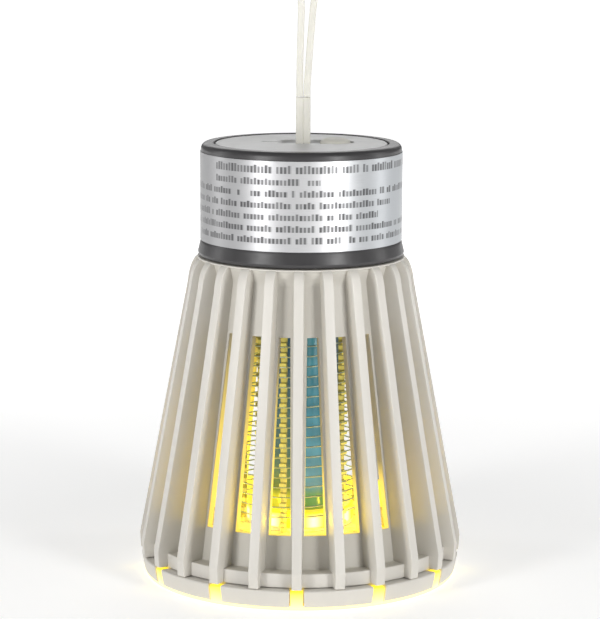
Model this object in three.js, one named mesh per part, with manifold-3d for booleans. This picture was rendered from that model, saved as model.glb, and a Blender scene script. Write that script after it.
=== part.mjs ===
// Rechargeable hanging bug zapper: a dark round head with the electronics, a finned cone cage round a
// wire-wound high-voltage grid and a lamp column, and a twist-off lit base that catches the insects.
// Millimetres, +Z up, origin at the centre of the base's underside. The front of the lamp faces -Y.
import * as THREE from 'three';
import { mergeVertices } from 'three/addons/utils/BufferGeometryUtils.js';
import Module from 'manifold-3d';

const wasm = await Module();
wasm.setup();

// ---------------------------------------------------------------- driving dimensions
const TURN = 2 * Math.PI;
const GAP = 0.3; // clearance between pieces that meet
const FINE = 36; // facets of a large round piece
const MIDDLE = 24; // facets of a middle-sized one
const SMALL = 16; // facets of a small round piece

const FIN_COUNT = 24;
const FIN_THICK = 2.7;
const FIN_STEP = TURN / FIN_COUNT;
const FIN_TOP_Z = 89.6;
const FIN_SHOULDER = { r: 31.32, z: 82.47 }; // where the fin's straight edge starts
const FIN_FOOT = { r: 45.0, z: 10.6 }; // where it ends, the widest point of the lamp
const FIN_BOTTOM = { r: 44.7, z: 6.2 };
// The cone wall behind the fins is a little steeper than their edges, so the fins deepen downwards.
const WALL_FOOT = { r: 38.0, z: 10.6 };
const WALL_TOP = { r: 26.3, z: 88.0 };
const CAGE_WALL = 1.8;

const WINDOW = { bottom: 19.0, top: 71.4, halfBottom: 3.05, halfTop: 1.6 };

// The wall flares out below the deck, to a thin lip under the head.
const DECK = { r: 28.7, bottom: 87.6, top: 89.6, hole: 17.3, lip: 0.5 };
const FLARE = { bottom: 85.5, top: 88.4, outer: 27.6, inner: 24.6 };
const SPIGOT = { outer: 25.3, inner: 23.6, top: 92.8 }; // locates the head
const FOOT_FLANGE = { bottom: 8.4, top: 10.0, r: 42.0, skirtIn: 40.4, skirtBottom: 6.2 };
const LOCK_TUBE = { outer: 36.3, inner: 34.6, bottom: 2.0 }; // carries the bayonet ledges

const HEAD = { r: 27.6, flare: 28.5, bottom: 90.0, top: 120.85, wall: 2.0, edge: 1.6 };
const HEAD_RIM = { inner: 24.0, step: 23.0, depth: 2.3, bottom: 117.35, foot: 116.35 }; // seats the cover
const LABEL = { bottom: 94.3, top: 118.5, thick: 0.2, openFacets: 6 }; // open at the rear
const COVER = { r: 23.7, top: 121.0, thick: 1.6 };
const WELL = { x0: -2.0, x1: 9.3, r: 5.2, depth: 0.7 }; // shallow well for the strap and the button
const STRAP_HOLE = { halfWide: 2.35, halfDeep: 1.4 };
const BUTTON = { x: 9.3, r: 4.2, top: 122.0, flange: 5.0, flangeHigh: 0.9, stem: 1.6, stemBottom: 113.5 };
const BUTTON_TRAVEL = 0.6;
const PLUNGER = { r: 1.7, bottom: 111.8 };
const LED_SLOT = { x: -9.0, length: 3.0, width: 1.2 };
const LENS = { flange: 1.6, flangeBottom: 118.2, guide: 1.0, guideBottom: 111.2 };
const STATUS_LED = { r: 1.5, dome: 1.2, bottom: 109.5, rim: 110.2, top: 110.9 };

const BOARD = { r: 22.5, bottom: 108.0, top: 109.4, slotWide: 3.4, slotDeep: 2.2 };
const USB = { z: 105.9, height: 3.2, front: 25.2, depth: 7.2 };
const FLAP = { width: 14.0, height: 8.4, thick: 1.1, outer: 27.9 };
const PORT = { halfWide: 5.1, halfHigh: 2.1 };

const CHASSIS = { r: 25.0, bottom: 93.1, top: 95.1, pillar: 2.4, cellHole: 3.0, leadHole: 1.4 };
const CHASSIS_SCREW = { at: 21.0, head: 2.6, high: 1.6, shank: 0.9, length: 7.2, hole: 1.7, pilot: 1.0 };
const BOARD_SCREW = { at: 19.0, head: 2.2, high: 1.4, shank: 0.85, length: 7.0, hole: 1.3, pilot: 0.95 };
const PILOT_BOTTOM = 99.0;
const CELL = { r: 9.0, bottom: 27.2, top: 92.2, button: 2.9 };
const TAB = { halfWide: 2.5, halfDeep: 2.0, thick: 0.4 };
const SPRING = { foot: 6.5, waist: 4.6, tip: 3.2, bottom: 22.5, top: 27.0 };
const CORE = { outer: 9.65, inner: 9.15, bottom: 14.7, top: 92.6, flange: 13.0, flangeBottom: 90.4 };
const LAMP = { outer: 11.0, inner: 10.4, bottom: 15.4, top: 87.0 };
const STRIP = { count: 4, phase: -Math.PI / 2 + Math.PI / 12, halfWide: 1.25, inner: 9.7, outer: 9.85 };
const STRIP_SPAN = { bottom: 21.4, top: 86.0 };
const UV_LED = { pitch: 7.5, halfWide: 0.8, halfHigh: 1.4, face: 10.15 };

const GRID = { r: 18.0, wire: 0.55, gap: 2.8, turns: 11, bottom: 15.4, sides: 12 };
const POST = { count: 6, r: 0.9, at: 16.2, phase: Math.PI / 12 };
const LEAD = { r: 0.55, at: 16.0, hole: 1.1, end: 81.6 };
const GRID_RING = { inner: 11.4, outer: 18.3, bottom: 84.4, top: 87.3 };
const GRID_FOOT = { r: 19.4, bottom: 12.2, top: 14.4, hub: 9.0, hubTop: 22.2 };
const FOOT_SCREW = { head: 2.4, high: 1.4, shank: 0.85, length: 2.8, hole: 1.3 };
const FOOT_PILOT = { r: 0.95, top: 13.8 };
const GLOW = { inner: 11.4, outer: 15.0, wall: 0.5, top: 19.8, board: 0.8, leds: 8 };
const DOWNLIGHT = { r: 9.0, thick: 1.2, leds: 6, ring: 6.2 };

const BASE = { top: 5.9, bottom: 1.2, rTop: 44.5, rBottom: 43.6, notches: 12, notch: 3.9 };
const COLLAR = { inner: 37.9, outer: 39.3, top: 8.1 };
const BASE_OUTER_WALL = 2.2;
const BASE_WEB = 1.5;
const BASE_SCREW = { at: 40.8, head: 1.6, shank: 0.7, headBottom: 0.1, headTop: 0.5, top: 4.6 };
const BASE_BOSS = { r: 1.6, pilot: 0.95, pilotTop: 4.9 };
const SEAL = { inner: 39.4, outer: 39.95, bottom: 6.0, top: 7.8 };
const TRAY = { r: 43.3, thick: 1.0, cupOuter: 34.2, cupInner: 33.2, rim: 6.4 };
const TOOTH = { inner: 41.4, outerTop: 44.2, outerBottom: 43.4, top: 5.6, width: 3.3 };
// Three ledges on the cage hold three lugs of the base, each against a stop. Angles are in radians.
const BAYONET = { count: 3, depth: 1.3, thick: 1.2, top: 6.6 };
const BAYONET_ARC = { ledge: 0.3, stop: 0.06, lug: 0.24, lugFrom: 0.04 };
const STRAP = { x: 0.45, halfWide: 2.0, halfDeep: 1.0, bottom: 112.0, top: 133.0 };
const STRAP_COLLAR = { halfWide: 3.2, halfDeep: 1.9, bottom: 116.4 };
// The loop is one strand that leaves the stem's left side, turns over at the top and comes back down.
const LOOP_DIAMETER = 1.9;
const LOOP_ROUTE = [
  [-0.55, 0, 133.4], [-0.55, 0, 137.0], [-0.5, 0, 142.0], [-0.4, 0, 147.0], [-0.3, 0, 152.0],
  [-0.2, 0, 157.0], [-0.4, 0, 161.0], [-1.3, 0, 164.6], [-2.2, 0, 167.6], [-2.3, 0, 170.4],
  [-0.9, 0, 172.7], [1.5, 0, 173.5], [3.9, 0, 172.7], [5.4, 0, 170.4], [5.5, 0, 167.6],
  [4.7, 0, 164.4], [3.6, 0, 160.6], [3.0, 0, 157.0], [2.6, 0, 152.0], [2.2, 0, 147.0],
  [1.9, 0, 142.0], [1.55, 0, 137.0], [1.45, 0, 133.4],
];

// ---------------------------------------------------------------- geometry helpers
const polar = (r, angle) => [r * Math.cos(angle), r * Math.sin(angle)];

const wallSlope = (WALL_FOOT.r - WALL_TOP.r) / (WALL_TOP.z - WALL_FOOT.z);
const wallOuter = (z) => WALL_FOOT.r + wallSlope * (WALL_FOOT.z - z);
const wallInner = (z) => wallOuter(z) - CAGE_WALL;

// Returns the geometry as one closed shell that faces outwards, with shared corners and no flat slivers.
function closed(geometry) {
  const plain = geometry.clone();
  plain.deleteAttribute('normal');
  plain.deleteAttribute('uv');
  const merged = mergeVertices(plain, 1e-4);
  const at = merged.attributes.position;
  const source = merged.index.array;
  const corners = [0, 1, 2].map(() => new THREE.Vector3());
  const kept = [];
  let volume = 0;
  for (let i = 0; i < source.length; i += 3) {
    const [a, b, c] = source.slice(i, i + 3);
    if (a === b || b === c || c === a) continue;
    kept.push([a, b, c]);
    [a, b, c].forEach((v, k) => corners[k].fromBufferAttribute(at, v));
    volume += corners[0].dot(corners[1].clone().cross(corners[2]));
  }
  const index = kept.flatMap(([a, b, c]) => (volume > 0 ? [a, b, c] : [a, c, b]));
  merged.setIndex(index);
  return merged;
}

function solid(geometry) {
  const shell = closed(geometry);
  return new wasm.Manifold(new wasm.Mesh({
    numProp: 3,
    vertProperties: Float32Array.from(shell.attributes.position.array),
    triVerts: Uint32Array.from(shell.index.array),
  }));
}

function geometryOf(manifold) {
  const mesh = manifold.getMesh();
  const geometry = new THREE.BufferGeometry();
  geometry.setAttribute('position', new THREE.BufferAttribute(Float32Array.from(mesh.vertProperties), 3));
  geometry.setIndex(Array.from(mesh.triVerts));
  return geometry;
}

const join = (first, ...rest) => geometryOf(rest.reduce((s, g) => s.add(solid(g)), solid(first)));
const cut = (first, ...rest) => geometryOf(rest.reduce((s, g) => s.subtract(solid(g)), solid(first)));

// A profile of [radius, z] points, turned round the Z axis.
function lathe(points, segments = FINE) {
  const profile = points.map(([r, z]) => new THREE.Vector2(r, z));
  const onAxis = points[0][0] === 0 && points.at(-1)[0] === 0;
  if (!onAxis) profile.push(profile[0].clone());
  return closed(new THREE.LatheGeometry(profile, segments).rotateX(Math.PI / 2));
}

const tube = (inner, outer, bottom, top, segments = FINE) =>
  lathe([[inner, bottom], [outer, bottom], [outer, top], [inner, top]], segments);
const disc = (r, bottom, top, segments = FINE) =>
  lathe([[0, bottom], [r, bottom], [r, top], [0, top]], segments);
const rod = (r, x, y, bottom, top, segments = SMALL) => disc(r, bottom, top, segments).translate(x, y, 0);
const box = (x0, x1, y0, y1, z0, z1) =>
  new THREE.BoxGeometry(x1 - x0, y1 - y0, z1 - z0).translate((x0 + x1) / 2, (y0 + y1) / 2, (z0 + z1) / 2);

// An outline of [x, y] points as a prism from z = bottom to z = top.
function prism(points, bottom, top) {
  const shape = new THREE.Shape(points.map(([x, y]) => new THREE.Vector2(x, y)));
  const body = new THREE.ExtrudeGeometry(shape, { depth: top - bottom, bevelEnabled: false });
  return closed(body.translate(0, 0, bottom));
}

// An outline of [radius, z] points as a flat plate that stands on the plane at the given angle.
function radialPlate(points, thick, angle) {
  const shape = new THREE.Shape(points.map(([r, z]) => new THREE.Vector2(r, z)));
  const body = new THREE.ExtrudeGeometry(shape, { depth: thick, bevelEnabled: false });
  return closed(body.translate(0, 0, -thick / 2).rotateX(Math.PI / 2).rotateZ(angle));
}

// The outline of a slot with round ends, from x0 to x1.
function slotOutline(x0, x1, r, steps = 8) {
  const end = (x, from) => Array.from({ length: steps + 1 }, (_, i) => {
    const a = from + (Math.PI * i) / steps;
    return [x + r * Math.cos(a), r * Math.sin(a)];
  });
  return [...end(x1, -Math.PI / 2), ...end(x0, Math.PI / 2)];
}

// A bar bent round the axis: it spans an angle, and climbs by rise from its start to its end.
function bentBar(inner, outer, bottom, thick, from, span, rise, steps) {
  const bar = new THREE.BoxGeometry(1, 1, 1, steps, 1, 1);
  const at = bar.attributes.position;
  for (let i = 0; i < at.count; i += 1) {
    const along = at.getX(i) + 0.5;
    const radius = at.getY(i) > 0 ? inner : outer;
    const z = bottom + rise * along + (at.getZ(i) + 0.5) * thick;
    at.setXYZ(i, ...polar(radius, from + span * along), z);
  }
  return closed(bar);
}

// A round or square tube along a curve.
function sweep(curve, radius, sides, steps) {
  const section = new THREE.Shape();
  for (let i = 0; i < sides; i += 1) {
    const [x, y] = polar(radius, (TURN * (i + 0.5)) / sides);
    if (i === 0) section.moveTo(x, y);
    else section.lineTo(x, y);
  }
  return closed(new THREE.ExtrudeGeometry(section, { steps, extrudePath: curve, bevelEnabled: false }));
}

const points3 = (list) => list.map(([x, y, z]) => new THREE.Vector3(x, y, z));
const around = (count, phase = 0) => Array.from({ length: count }, (_, i) => phase + (TURN * i) / count);

const FRONT = -Math.PI / 2;
const finAngles = around(FIN_COUNT, FRONT);
const lockAngles = around(BAYONET.count);
const postAngles = around(POST.count, POST.phase);
const leadAngles = around(2, POST.phase + Math.PI / POST.count); // halfway between two posts
const chassisScrewAngles = around(3, Math.PI / 2);
const boardScrewAngles = around(3, FRONT);
const baseScrewAngles = around(3, FRONT + FIN_STEP);

// ---------------------------------------------------------------- materials
const finish = (color, roughness, metalness = 0, extra = {}) =>
  new THREE.MeshStandardMaterial({ color, roughness, metalness, ...extra });
const clear = { transparent: true, opacity: 0.6 };
const SHELL = finish(0xd6d2c8, 0.5);
const DARK = finish(0x4b4a4c, 0.42, 0.1);
const SILVER = finish(0xc3c5c8, 0.35, 0.8);
const COVER_GREY = finish(0xd4d4d3, 0.5);
const SILICONE = finish(0xd8d6cb, 0.6);
const RUBBER = finish(0x2b2b2d, 0.8);
const STEEL = finish(0xb9bcbf, 0.3, 1);
const WIRE = finish(0xc9d2cf, 0.25, 1);
const BOARD_GREEN = finish(0x1f6b3c, 0.5);
const BOARD_WHITE = finish(0xe9e9e4, 0.5);
const BLACK = finish(0x1b1b1c, 0.5);
const FERRITE = finish(0x3a3634, 0.7);
const FOIL = finish(0xb0462f, 0.4);
const SLEEVE = finish(0x2f6fae, 0.4);
const INSULATOR = finish(0xe8e4d8, 0.5);
const BLUE_LAMP = finish(0x4a9cb8, 0.2, 0, { ...clear, emissive: 0x2a7fa0 });
const YELLOW_GLOW = finish(0xffe14a, 0.4, 0, { ...clear, emissive: 0xffd21f });
const GREEN_LENS = finish(0x9fd2a0, 0.2, 0, clear);

const lamp = new THREE.Group();
function add(name, geometry, material) {
  const mesh = new THREE.Mesh(geometry, material);
  mesh.name = name;
  lamp.add(mesh);
  return mesh;
}

// ---------------------------------------------------------------- cage
function cageBody() {
  const { outer, inner, bottom } = LOCK_TUBE;
  const flange = FOOT_FLANGE;
  return lathe([
    [inner, bottom], [outer, bottom], [outer, flange.bottom], [flange.skirtIn, flange.bottom],
    [flange.skirtIn, flange.skirtBottom], [flange.r, flange.skirtBottom], [flange.r, flange.top],
    [wallOuter(flange.top), flange.top], [wallOuter(FLARE.bottom), FLARE.bottom], [FLARE.outer, FLARE.top],
    [FLARE.outer, DECK.top - DECK.lip], [DECK.r, DECK.top - DECK.lip], [DECK.r, DECK.top],
    [SPIGOT.outer, DECK.top], [SPIGOT.outer, SPIGOT.top], [SPIGOT.inner, SPIGOT.top],
    [SPIGOT.inner, DECK.top], [DECK.hole, DECK.top], [DECK.hole, DECK.bottom],
    [FLARE.inner, DECK.bottom], [wallInner(FLARE.bottom), FLARE.bottom],
    [wallInner(flange.top), flange.top], [inner, flange.bottom],
  ], FIN_COUNT);
}

function finOutline() {
  const bite = CAGE_WALL / 2; // the fin's root lies halfway into the wall
  const inFlange = (FOOT_FLANGE.bottom + FOOT_FLANGE.top) / 2;
  const inSkirt = (FOOT_FLANGE.skirtIn + FOOT_FLANGE.r) / 2;
  const shoulder = new THREE.QuadraticBezierCurve(
    new THREE.Vector2(FIN_SHOULDER.r, FIN_SHOULDER.z),
    new THREE.Vector2(FIN_SHOULDER.r - 0.6, FIN_TOP_Z - 1.2),
    new THREE.Vector2(DECK.r - 0.4, FIN_TOP_Z - 0.05),
  ).getPoints(4).map((p) => [p.x, p.y]);
  return [
    [wallOuter(inFlange) - bite, inFlange], [inSkirt, inFlange],
    [FOOT_FLANGE.r - 0.1, FIN_BOTTOM.z + 0.6], [FOOT_FLANGE.r + 0.1, FIN_BOTTOM.z],
    [FIN_BOTTOM.r, FIN_BOTTOM.z], [FIN_FOOT.r, FIN_FOOT.z], ...shoulder,
    [FLARE.inner + GAP, (DECK.bottom + DECK.top) / 2], [wallOuter(FLARE.bottom) - bite, FLARE.bottom],
  ];
}

// Each window lies between two fins, and widens towards its bottom as the cone does.
function windowWedge(angle) {
  const { bottom, top, halfBottom, halfTop } = WINDOW;
  const widening = (halfBottom - halfTop) / (wallOuter(bottom) - wallOuter(top));
  const half = (r) => halfTop + widening * (r - wallOuter(top));
  const near = wallInner(top) - 1;
  const far = wallOuter(bottom) + 1;
  const outline = [[near, -half(near)], [far, -half(far)], [far, half(far)], [near, half(near)]];
  return prism(outline, bottom, top).rotateZ(angle);
}

function lockLedge(angle) {
  const bottom = BAYONET.top - BAYONET.thick;
  const inner = (LOCK_TUBE.inner + LOCK_TUBE.outer) / 2;
  const outer = LOCK_TUBE.outer + BAYONET.depth;
  const stopHigh = FOOT_FLANGE.bottom - bottom + GAP;
  return join(
    bentBar(inner, outer, bottom, BAYONET.thick, angle, BAYONET_ARC.ledge, 0, 4),
    bentBar(inner, outer, bottom, stopHigh, angle + BAYONET_ARC.ledge - 0.01, BAYONET_ARC.stop, 0, 1),
  );
}

function finnedCage() {
  const fins = finAngles.map((a) => radialPlate(finOutline(), FIN_THICK, a));
  const windows = finAngles.map((a) => windowWedge(a + FIN_STEP / 2));
  const pilots = chassisScrewAngles.map((a) => rod(
    CHASSIS_SCREW.pilot, ...polar(CHASSIS_SCREW.at, a), DECK.bottom - 1, DECK.top + 1, 8,
  ));
  return cut(join(cageBody(), ...fins, ...lockAngles.map(lockLedge)), ...windows, ...pilots);
}

add('finned_cage', finnedCage(), SHELL);

// ---------------------------------------------------------------- base
function baseRing() {
  const ring = lathe([
    [COLLAR.inner, BASE.bottom], [COLLAR.outer, BASE.bottom], [COLLAR.outer, BASE.top - BASE_WEB],
    [BASE.rTop - BASE_OUTER_WALL, BASE.top - BASE_WEB], [BASE.rBottom - BASE_OUTER_WALL, BASE.bottom],
    [BASE.rBottom, BASE.bottom], [BASE.rTop, BASE.top], [COLLAR.outer, BASE.top],
    [COLLAR.outer, COLLAR.top], [COLLAR.inner, COLLAR.top],
  ]);
  const lugs = lockAngles.map((a) => bentBar(
    COLLAR.inner + 0.4, LOCK_TUBE.outer + GAP, BAYONET.top + GAP, BAYONET.thick,
    a + BAYONET_ARC.lugFrom, BAYONET_ARC.lug, 0, 3,
  ));
  const notches = around(BASE.notches, FRONT).map((a) => box(
    TOOTH.inner - GAP, BASE.rTop + 1, -BASE.notch / 2, BASE.notch / 2, 0, BASE.top + 1,
  ).rotateZ(a));
  const bosses = baseScrewAngles.map((a) => rod(
    BASE_BOSS.r, ...polar(BASE_SCREW.at, a), BASE.bottom + 0.4, BASE.top - BASE_WEB + 0.3, 12,
  ));
  const pilots = baseScrewAngles.map((a) => rod(
    BASE_BOSS.pilot, ...polar(BASE_SCREW.at, a), 0, BASE_BOSS.pilotTop, 8,
  ));
  return cut(join(ring, ...lugs, ...bosses), ...notches, ...pilots);
}

// The tray is clear plastic: it catches the insects and carries the light out through the ring's notches.
function diffuserTray() {
  const dish = lathe([
    [0, 0], [TRAY.r, 0], [TRAY.r, TRAY.thick], [TRAY.cupOuter, TRAY.thick], [TRAY.cupOuter, TRAY.rim],
    [TRAY.cupInner, TRAY.rim], [TRAY.cupInner, TRAY.thick + 0.2], [0, TRAY.thick + 0.2],
  ]);
  const teeth = around(BASE.notches, FRONT).map((a) => radialPlate([
    [TOOTH.inner, TRAY.thick / 2], [TOOTH.outerBottom - 0.3, TRAY.thick / 2],
    [TOOTH.outerBottom, TRAY.thick + 0.2], [TOOTH.outerTop, TOOTH.top], [TOOTH.inner, TOOTH.top],
  ], TOOTH.width, a));
  const at = (r, bottom, top, a) => rod(r, ...polar(BASE_SCREW.at, a), bottom, top, 12);
  const holes = baseScrewAngles.map((a) => at(BASE_SCREW.shank + GAP, -1, TRAY.thick + 1, a));
  const heads = baseScrewAngles.map((a) => at(BASE_SCREW.head + GAP, -1, BASE_SCREW.headTop + 0.1, a));
  return cut(join(dish, ...teeth), ...holes, ...heads);
}

add('base_ring', baseRing(), SHELL);
add('diffuser_tray', diffuserTray(), YELLOW_GLOW);
add('base_seal', tube(SEAL.inner, SEAL.outer, SEAL.bottom, SEAL.top), RUBBER);
baseScrewAngles.forEach((a, i) => {
  const { head, shank, headBottom, headTop, top } = BASE_SCREW;
  const screw = lathe([
    [0, headBottom], [head, headBottom], [head, headTop], [shank, headTop], [shank, top - 0.4], [0, top],
  ], 8);
  add(`base_screw_${i + 1}`, screw, STEEL).position.set(...polar(BASE_SCREW.at, a), 0);
});

// ---------------------------------------------------------------- head
function headHousing() {
  const inner = HEAD.r - HEAD.wall;
  const edge = HEAD.edge;
  const shell = lathe([
    [inner, HEAD.bottom], [HEAD.flare - 0.3, HEAD.bottom], [HEAD.flare, HEAD.bottom + 0.9],
    [HEAD.r + 0.25, LABEL.bottom - 0.6], [HEAD.r, LABEL.bottom], [HEAD.r, HEAD.top - edge],
    [HEAD.r - 0.3 * edge, HEAD.top - 0.3 * edge], [HEAD.r - edge, HEAD.top], [HEAD_RIM.inner, HEAD.top],
    [HEAD_RIM.inner, HEAD.top - HEAD_RIM.depth], [HEAD_RIM.step, HEAD.top - HEAD_RIM.depth],
    [HEAD_RIM.step, HEAD_RIM.bottom], [inner, HEAD_RIM.foot],
  ]);
  const halfHigh = FLAP.height / 2 + GAP;
  const halfWide = FLAP.width / 2 + GAP;
  const pocketFloor = FLAP.outer - FLAP.thick - GAP;
  const pocket = box(-halfWide, halfWide, pocketFloor, HEAD.flare + 1, USB.z - halfHigh, USB.z + halfHigh);
  const port = box(
    -PORT.halfWide, PORT.halfWide, inner - 3, HEAD.flare, USB.z - PORT.halfHigh, USB.z + PORT.halfHigh,
  );
  return cut(shell, pocket, port);
}

// The label is a metal-foil wrap that leaves the rear of the head free for the charging port.
function ratingLabel() {
  const facets = FINE - LABEL.openFacets;
  const facet = TURN / FINE;
  return bentBar(
    HEAD.r + 0.05, HEAD.r + 0.05 + LABEL.thick, LABEL.bottom, LABEL.top - LABEL.bottom,
    Math.PI / 2 + (facet * LABEL.openFacets) / 2, facet * facets, 0, facets,
  );
}

function topCover() {
  const bottom = COVER.top - COVER.thick;
  const plate = lathe([
    [0, bottom], [COVER.r, bottom], [COVER.r, COVER.top - 0.6], [COVER.r - 0.8, COVER.top - 0.2],
    [0, COVER.top],
  ]);
  const well = prism(slotOutline(WELL.x0, WELL.x1, WELL.r), COVER.top - WELL.depth, COVER.top + 1);
  const buttonHole = rod(BUTTON.r + GAP, BUTTON.x, 0, bottom - 1, COVER.top + 1, MIDDLE);
  const { halfWide, halfDeep } = STRAP_HOLE;
  const strapHole = box(
    STRAP.x - halfWide, STRAP.x + halfWide, -halfDeep, halfDeep, bottom - 1, COVER.top + 1,
  );
  const slot = prism(slotOutline(-LED_SLOT.length / 2, LED_SLOT.length / 2, LED_SLOT.width / 2 + 0.2, 4),
    bottom - 1, COVER.top + 1).translate(LED_SLOT.x, 0, 0);
  return cut(plate, well, buttonHole, strapHole, slot);
}

function powerButton() {
  const under = COVER.top - COVER.thick - GAP;
  const flangeBottom = under - BUTTON.flangeHigh;
  return lathe([
    [0, BUTTON.stemBottom], [BUTTON.stem, BUTTON.stemBottom], [BUTTON.stem, flangeBottom],
    [BUTTON.flange, flangeBottom], [BUTTON.flange, under], [BUTTON.r, under], [BUTTON.r, BUTTON.top - 1.0],
    [BUTTON.r - 0.7, BUTTON.top - 0.3], [BUTTON.r - 2.2, BUTTON.top], [0, BUTTON.top],
  ], SMALL).translate(BUTTON.x, 0, 0);
}

function indicatorLens() {
  const under = COVER.top - COVER.thick;
  const half = LED_SLOT.length / 2;
  const head = prism(slotOutline(-half, half, LED_SLOT.width / 2, 4), under - 0.2, COVER.top - 0.15);
  const flange = prism(slotOutline(-half, half, LENS.flange, 4), LENS.flangeBottom, under - 0.1);
  const guide = rod(LENS.guide, 0, 0, LENS.guideBottom, LENS.flangeBottom + 0.4, 8);
  return join(head, flange, guide).translate(LED_SLOT.x, 0, 0);
}

add('head_housing', headHousing(), DARK);
add('rating_label', ratingLabel(), SILVER);
add('top_cover', topCover(), COVER_GREY);
add('power_button', powerButton(), SILICONE);
add('indicator_lens', indicatorLens(), GREEN_LENS);

// The rubber flap closes the charging port and folds down on its lower edge.
function usbFlap() {
  const half = FLAP.width / 2;
  const plate = box(-half, half, FLAP.outer - FLAP.thick, FLAP.outer,
    USB.z - FLAP.height / 2, USB.z + FLAP.height / 2);
  const lip = box(-1.5, 1.5, FLAP.outer - 0.2, FLAP.outer + 0.6,
    USB.z + FLAP.height / 2 - 1.2, USB.z + FLAP.height / 2 - 0.1);
  const plug = box(-3.6, 3.6, FLAP.outer - FLAP.thick - 0.9, FLAP.outer - FLAP.thick + 0.2,
    USB.z - 0.8, USB.z + 0.8);
  return join(plate, lip, plug);
}

function usbSocket() {
  const rear = USB.front - USB.depth;
  const shell = prism(slotOutline(-3.0, 3.0, USB.height / 2, 4), 0, USB.depth);
  const mouth = prism(slotOutline(-2.9, 2.9, USB.height / 2 - 0.35, 4), 1.2, USB.depth + 1);
  const tongue = box(-3.0, 3.0, -0.35, 0.35, 0.6, USB.depth - 1.2);
  return join(cut(shell, mouth), tongue).rotateX(-Math.PI / 2).translate(0, rear, USB.z + 0.2);
}

add('usb_flap', usbFlap(), RUBBER);
add('usb_socket', usbSocket(), STEEL);

// ---------------------------------------------------------------- electronics in the head
function circuitBoard() {
  const { slotWide, slotDeep } = BOARD;
  const plate = disc(BOARD.r, BOARD.bottom, BOARD.top, MIDDLE);
  const strapSlot = box(
    STRAP.x - slotWide, STRAP.x + slotWide, -slotDeep, slotDeep, BOARD.bottom - 1, BOARD.top + 1,
  );
  const holes = boardScrewAngles.map((a) => rod(
    BOARD_SCREW.hole, ...polar(BOARD_SCREW.at, a), BOARD.bottom - 1, BOARD.top + 1, 8,
  ));
  return cut(plate, strapSlot, ...holes);
}

// The chassis closes the head, and its three pillars carry the circuit board.
function chassis() {
  const through = (r, at, a) => rod(r, ...polar(at, a), CHASSIS.bottom - 1, CHASSIS.top + 1, 8);
  const plate = disc(CHASSIS.r, CHASSIS.bottom, CHASSIS.top, MIDDLE);
  const pillars = boardScrewAngles.map((a) => rod(
    CHASSIS.pillar, ...polar(BOARD_SCREW.at, a), CHASSIS.top - 0.5, BOARD.bottom - 0.1, 10,
  ));
  const pilots = boardScrewAngles.map((a) => rod(
    BOARD_SCREW.pilot, ...polar(BOARD_SCREW.at, a), PILOT_BOTTOM, BOARD.bottom + 1, 8,
  ));
  const leadHoles = leadAngles.map((a) => through(CHASSIS.leadHole, LEAD.at, a));
  const cellHole = rod(CHASSIS.cellHole, 0, 0, CHASSIS.bottom - 1, CHASSIS.top + 1, 12);
  const screwHoles = chassisScrewAngles.map((a) => through(CHASSIS_SCREW.hole, CHASSIS_SCREW.at, a));
  return cut(join(plate, ...pillars), ...pilots, ...leadHoles, cellHole, ...screwHoles);
}

add('chassis', chassis(), BLACK);
add('circuit_board', circuitBoard(), BOARD_GREEN);

function panScrew({ head, high, shank, length }) {
  return lathe([
    [0, -length], [shank, -length + 0.6], [shank, 0], [head, 0], [head, high * 0.6], [head * 0.7, high],
    [0, high],
  ], 10);
}

chassisScrewAngles.forEach((a, i) => {
  const mesh = add(`chassis_screw_${i + 1}`, panScrew(CHASSIS_SCREW), STEEL);
  mesh.position.set(...polar(CHASSIS_SCREW.at, a), CHASSIS.top + 0.1);
});
boardScrewAngles.forEach((a, i) => {
  const mesh = add(`board_screw_${i + 1}`, panScrew(BOARD_SCREW), STEEL);
  mesh.position.set(...polar(BOARD_SCREW.at, a), BOARD.top + 0.1);
});

// The high-voltage side: a step-up transformer and its reservoir capacitor, under the board.
function transformer() {
  const core = box(-6, 6, -5, 5, BOARD.bottom - 9.4, BOARD.bottom - 0.2);
  const winding = new THREE.CylinderGeometry(4.6, 4.6, 13.6, 16).rotateZ(Math.PI / 2);
  return join(core, winding.translate(0, 0, BOARD.bottom - 4.8));
}

const capacitor = join(
  box(-4.5, 4.5, -2.5, 2.5, BOARD.bottom - 8.2, BOARD.bottom - 0.2),
  box(-5.0, 5.0, -2.0, 2.0, BOARD.bottom - 7.6, BOARD.bottom - 0.8),
);
add('hv_transformer', transformer(), FERRITE).position.set(-11.0, -3.0, 0);
add('hv_capacitor', capacitor, FOIL).position.set(10.5, -9.0, 0);

function controlChip() {
  const legs = [-1.8, -0.6, 0.6, 1.8].map((x) => box(x - 0.2, x + 0.2, -3.0, 3.0, 0.05, 0.5));
  return join(box(-2.5, 2.5, -2.0, 2.0, 0.3, 1.7), ...legs);
}

add('control_chip', controlChip(), BLACK).position.set(-6.0, 9.0, BOARD.top);

function tactSwitch() {
  const half = 3.1;
  const body = box(-half, half, -half, half, BOARD.top + 0.05, BUTTON.stemBottom - BUTTON_TRAVEL - GAP);
  const well = disc(PLUNGER.r + GAP, PLUNGER.bottom - BUTTON_TRAVEL - GAP, BUTTON.stemBottom, 12);
  return cut(body, well).translate(BUTTON.x, 0, 0);
}

const statusLed = lathe([
  [0, STATUS_LED.bottom], [STATUS_LED.r, STATUS_LED.bottom], [STATUS_LED.r, STATUS_LED.rim],
  [STATUS_LED.dome, STATUS_LED.top], [0, STATUS_LED.top],
], 10).translate(LED_SLOT.x, 0, 0);
add('tact_switch', tactSwitch(), BLACK);
add('switch_plunger', rod(PLUNGER.r, BUTTON.x, 0, PLUNGER.bottom, BUTTON.stemBottom - 0.1, 12), COVER_GREY);
add('status_led', statusLed, GREEN_LENS);

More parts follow.
